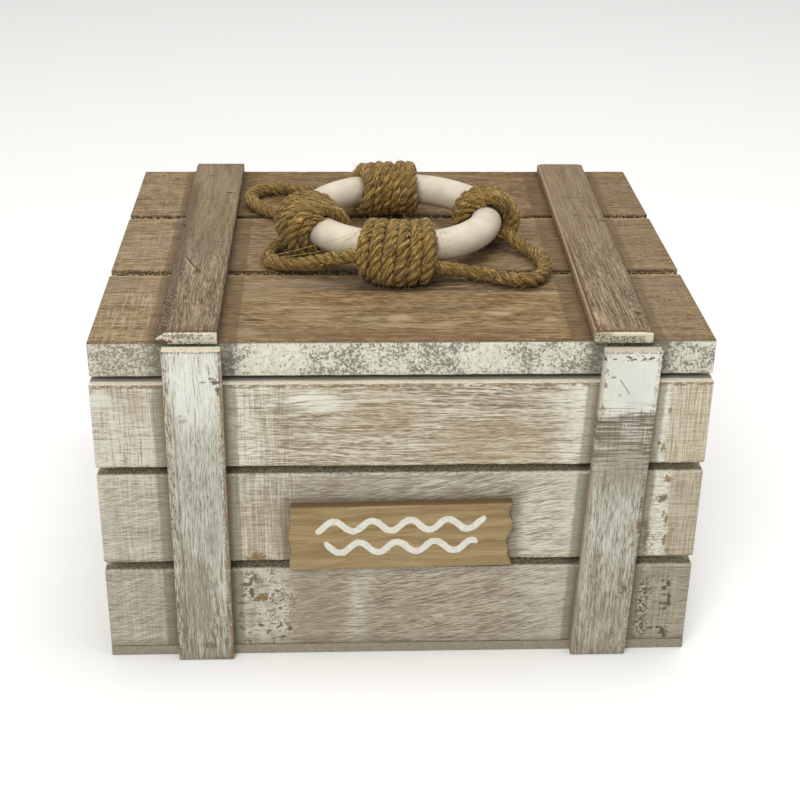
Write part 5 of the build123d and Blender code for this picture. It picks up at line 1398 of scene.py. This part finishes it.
# ------------------------------------------------------------------ rope wraps
# start, span, outward shift, turns, seed, fan outside, fan inside, twist, extra height
WRAPS = {"front": (-117.8, 50.5, 1.2, 6, 1.0, 0.45, 0.55, 0.0, 0.0), "right": (-12.5, 27.0, 0.2, 3, 2.0, 0.4, 0.5, 0.0, 0.6),
         "back": (73.5, 47.0, 0.0, 6, 3.0, 0.55, 0.9, -3.0, 0.0), "left": (177.0, 39.5, 2.0, 5, 4.0, 0.3, 0.2, 0.0, 0.8)}
wrap_lines = {}
for nm, (start, span, lean, turns, seed, fan_out, fan_in, twist, high) in WRAPS.items():
    half = ROPE_D / 2 / RR * 180 / math.pi * 0.86
    a0, a1 = start + half, start + span - half
    pts = []
    n = 64 * turns
    for i in range(n + 1):
        t = i / n
        phi = -math.pi * 0.5 + 2 * math.pi * turns * t
        k = t * turns
        th = math.radians(a0 + (a1 - a0) * t)
        thm = math.radians((a0 + a1) / 2)
        jit = n3(k * 0.9, seed * 3.1, 0.5)
        ra = 11.1 + 0.22 * jit
        rb = 8.55 + 0.1 * n3(k * 1.3, seed, 7.7)
        cosp, sinp = math.cos(phi), math.sin(phi)
        ra_ = ra if cosp > 0 else 10.6 + 0.2 * jit
        # ends tuck in under the first and last turn
        e = min(t, 1 - t) * turns
        tuck = smooth01(e / 0.22)
        ra_ = 7.4 + (ra_ - 7.4) * tuck
        rb = 7.2 + (rb - 7.2) * tuck
        th += 0.040 * n3(k * 2.3, seed, 3.0) * tuck
        if cosp > 0 and sinp < 0:
            # slack on the side that faces out and down: the turns drop square on to the lid
            sq = {"front": 6.0, "left": 2.5, "right": 2.3, "back": 2.0}[nm]
            cosp, sinp = cosp ** (2 / sq), -((-sinp) ** (2 / sq))
            if nm == "front":
                belly = 1 - (2 * abs(t - 0.5)) ** 2
                ra_ += 2.3 * belly * tuck * smooth01(-sinp * 1.6)
                slack = 2.0 * min(cosp, -sinp)
                th = thm + (th - thm) * (1 - 0.12 * smooth01(-sinp) - 0.08 * max(0.0, slack - 0.8)) + 0.02 * n3(k * 5.1, seed, 6.0)
        rad = RR + lean * 0.7 + ra_ * cosp
        th = thm + (th - thm) * (RR / rad) ** (fan_out if rad > RR else fan_in)
        if rad < RR:
            th += math.radians(twist) * min(1.0, (RR - rad) / 8.0)
        pts.append(Vector((RC.x + rad * math.cos(th), RC.y + rad * math.sin(th), RC.z + (rb + (high * tuck if sinp > 0 else 0.0)) * sinp)))
    line, total = resample(pts, 0.8)
    wrap_lines[nm] = line
    v, f, uv = strands(line, 5.5, 10.0, seed, seed + 10, 12, 0.6)
    # a first layer that lies tight on the ring
    under = max(3, round(math.radians(span) * RR / 5.6) - 1)
    inset = 3.0 if nm in ("front", "back") else 1.0
    pts = []
    for i in range(40 * under + 1):
        t = i / (40 * under)
        phi = math.pi * 0.5 + 2 * math.pi * under * t
        th = math.radians(start + half + inset + (span - 2 * half - 2 * inset) * t)
        rad = RR + 8.9 * math.cos(phi)
        pts.append(Vector((RC.x + rad * math.cos(th), RC.y + rad * math.sin(th), RC.z + 7.1 * math.sin(phi))))
    line, total = resample(pts, 0.8)
    v2, f2, uv2 = strands(line, 5.3, 10.0, seed + 2.0, seed + 20, 9, 0.8)
    f = list(f) + [tuple(q + len(v) for q in c) for c in f2]
    v, uv = list(v) + list(v2), list(uv) + list(uv2)
    finish_mesh("rope_wrap_" + nm + "_strands", v, f, rope_mat, "lid", ["rope_wrap_" + nm], uv)

# ------------------------------------------------------------------ loose fibres
rnd = random.Random(11)
top_side = lambda p: p.z > 131.2
for nm, line in wrap_lines.items():
    v, f, uv = hairs([line], {"front": 1100, "right": 560, "back": 700, "left": 600}[nm], rnd, 2.6, 4.4, top_side, 0.085)
    v2, f2, uv2 = hairs([line], {"front": 520, "right": 240, "back": 340, "left": 300}[nm], rnd, 3.35, 8.5, top_side, 0.115, (-0.05, 0.24))
    f = f + [tuple(q + len(v) for q in c) for c in f2]
    v, uv = v + v2, uv + uv2
    v = [Vector((p.x, p.y, min(p.z, 154.4))) for p in v]
    finish_mesh("rope_wrap_" + nm + "_fibres", v, f, fibre_mat, "lid", (), uv)
for nm, line in loop_lines.items():
    v, f, uv = hairs([line], {"right": 420, "left": 340, "back": 460}[nm], rnd, 2.6, 5.0, top_side, 0.075)
    finish_mesh("rope_loop_" + nm + "_fibres", v, f, fibre_mat, "lid", (), uv)

# a few long stray fibres, placed one by one
STRAY = [
    ([(-50.5, F + 71, 135.0), (-38.0, F + 66, 139.5), (-25.0, F + 62, 144.5), (-12.5, F + 60, 150.0)], 0.17),
    ([(-48.0, F + 70, 134.6), (-40.0, F + 65, 137.6), (-30.0, F + 62, 140.2), (-21.0, F + 60.5, 143.2)], 0.14),
    ([(-27.0, F + 64, 138.5), (-23.0, F + 62, 143.0), (-17.5, F + 60, 147.0), (-12.0, F + 59, 151.0)], 0.13),
    ([(48.0, F + 84, 136.0), (45.0, F + 76, 134.8), (41.0, F + 69, 132.8), (38.5, F + 64, 131.2)], 0.06),
    ([(46.0, F + 82, 136.4), (48.5, F + 76, 136.0), (53.0, F + 73, 134.4), (58.8, F + 75, 133.0)], 0.05),
    ([(57.5, F + 68, 135.8), (62.0, F + 72, 136.6), (65.4, F + 74, 134.0), (67.4, F + 70, 134.8)], 0.06),
    ([(57.8, F + 62, 134.8), (61.8, F + 60, 136.4), (64.8, F + 63, 135.4), (65.0, F + 67, 133.0)], 0.045),
    ([(-23.0, F + 86, 137.0), (-18.0, F + 84, 140.0), (-13.0, F + 83, 139.2), (-8.0, F + 84, 137.6)], 0.05),
    ([(-30.0, F + 84, 150.4), (-26.0, F + 80, 147.6), (-20.0, F + 77, 143.2), (-15.0, F + 74, 140.0)], 0.045),
    ([(-20.0, F + 61, 139.0), (-23.0, F + 54, 133.6), (-22.0, F + 50, 131.2), (-18.0, F + 48, 130.6)], 0.05),
    ([(32.0, F + 55, 134.6), (29.5, F + 50, 133.4), (30.5, F + 46, 131.4), (33.5, F + 44, 130.6)], 0.045),
]
verts, faces, uvs = [], [], []
for pts, rad in STRAY:
    P = [Vector(p) for p in pts]
    line = []
    for i in range(13):
        t = i / 12
        a, b = (1 - t), t
        line.append(P[0] * a ** 3 + P[1] * 3 * a * a * b + P[2] * 3 * a * b * b + P[3] * b ** 3
                    + Vector((n3(t * 4, pts[0][0]), n3(t * 4, 3, pts[0][0]), 0)) * 0.5)
    add_fibre(verts, faces, uvs, line, rad)
finish_mesh("stray_fibres", verts, faces, fibre_mat, "lid", (), uvs)


# ------------------------------------------------------------------ carried-over parts
def raw_wood(name, axis, seed):
    g = Graph(name)
    fine, mid, tiny = grain(g, axis, seed)
    col = g.mix(g.smooth(mid, 0.32, 0.68), (0.43, 0.295, 0.160), (0.60, 0.445, 0.275))
    col = g.mix(g.smooth(fine, 0.47, 0.30) * 0.6, col, (0.27, 0.17, 0.085))
    col = g.mix(g.smooth(tiny, 0.60, 0.74) * 0.25, col, (0.68, 0.54, 0.36))
    return g.done(col, 0.7, g.bump(fine * 0.5 + tiny * 0.4, 0.2, 0.8), 0.3)


def metal(name, seed, lo, hi, rough):
    g = Graph(name)
    n = g.noise(g.at(0.5, 0.5, 0.5, seed), 1.0, 3.0, 0.6)
    b = g.noise(g.at(0.3, 4.0, 4.0, seed + 1), 1.0, 2.0, 0.6)
    col = g.mix(g.smooth(n, 0.35, 0.65), lo, hi)
    col = g.mix(g.smooth(b, 0.35, 0.65) * 0.25, col, lo)
    return g.done(col, g.math("MULTIPLY_ADD", n, 0.25, rough), g.bump(b, 0.03, 0.6), 0.5, Metallic=1.0)


post_mat = raw_wood("post_wood", "Z", 191.0)
cleat_mat = raw_wood("cleat_wood", "Y", 194.0)
brass = metal("dull_brass", 201.0, (0.34, 0.235, 0.095), (0.56, 0.42, 0.20), 0.28)
steel = metal("screw_steel", 205.0, (0.34, 0.34, 0.33), (0.56, 0.56, 0.55), 0.26)


def bottom_mat():
    g = Graph("bottom_wood")
    fine, mid, tiny = grain(g, "X", 211.0)
    s1 = g.noise(g.at(1.1, 1.1, 1.1, 212.0), 1.0, 3.0, 0.7)
    col = g.mix(g.smooth(mid, 0.32, 0.68), (0.40, 0.275, 0.155), (0.55, 0.405, 0.250))
    col = g.mix(g.smooth(fine, 0.47, 0.30) * 0.6, col, (0.27, 0.17, 0.085))
    wash = g.mix(g.smooth(s1, 0.40, 0.62), (0.235, 0.205, 0.152), (0.300, 0.266, 0.202))
    out = g.maximum(g.smooth(g.y, F + 1.2, F + 0.6), g.smooth(g.y, BACK - 1.2, BACK - 0.6),
                    g.smooth(g.math("ABSOLUTE", g.x), 108.8, 109.4))
    col = g.mix(out, col, wash)
    return g.done(col, 0.78, g.bump(fine * 0.5 + s1 * 0.3, 0.22, 0.8), 0.28)


bm_ = bottom_mat()
nodes = frame["nodes"]


def dress(node, mat, width=0.0):
    ob = nodes[node]
    ob.data.materials.clear()
    ob.data.materials.append(mat)
    if width:
        bevel(ob, width, 2)


dress("bottom_board", bm_, 0.35)
for fb in ("front", "back"):
    for lr in ("left", "right"):
        dress(f"corner_post_{fb}_{lr}", post_mat, 0.3)
for lr in ("left", "right"):
    dress(f"lid_cleat_{lr}", cleat_mat, 0.4)
    dress(f"hinge_{lr}_body_leaf", brass, 0.08)
    dress(f"hinge_{lr}_lid_leaf", brass, 0.08)
    dress(f"hinge_{lr}_pin", brass, 0.12)
for n in ("hinge_screws_body", "hinge_screws_lid"):
    dress(n, brass)
for n in ("post_screws", "lid_cleat_screws", "bottom_nails"):
    dress(n, steel)
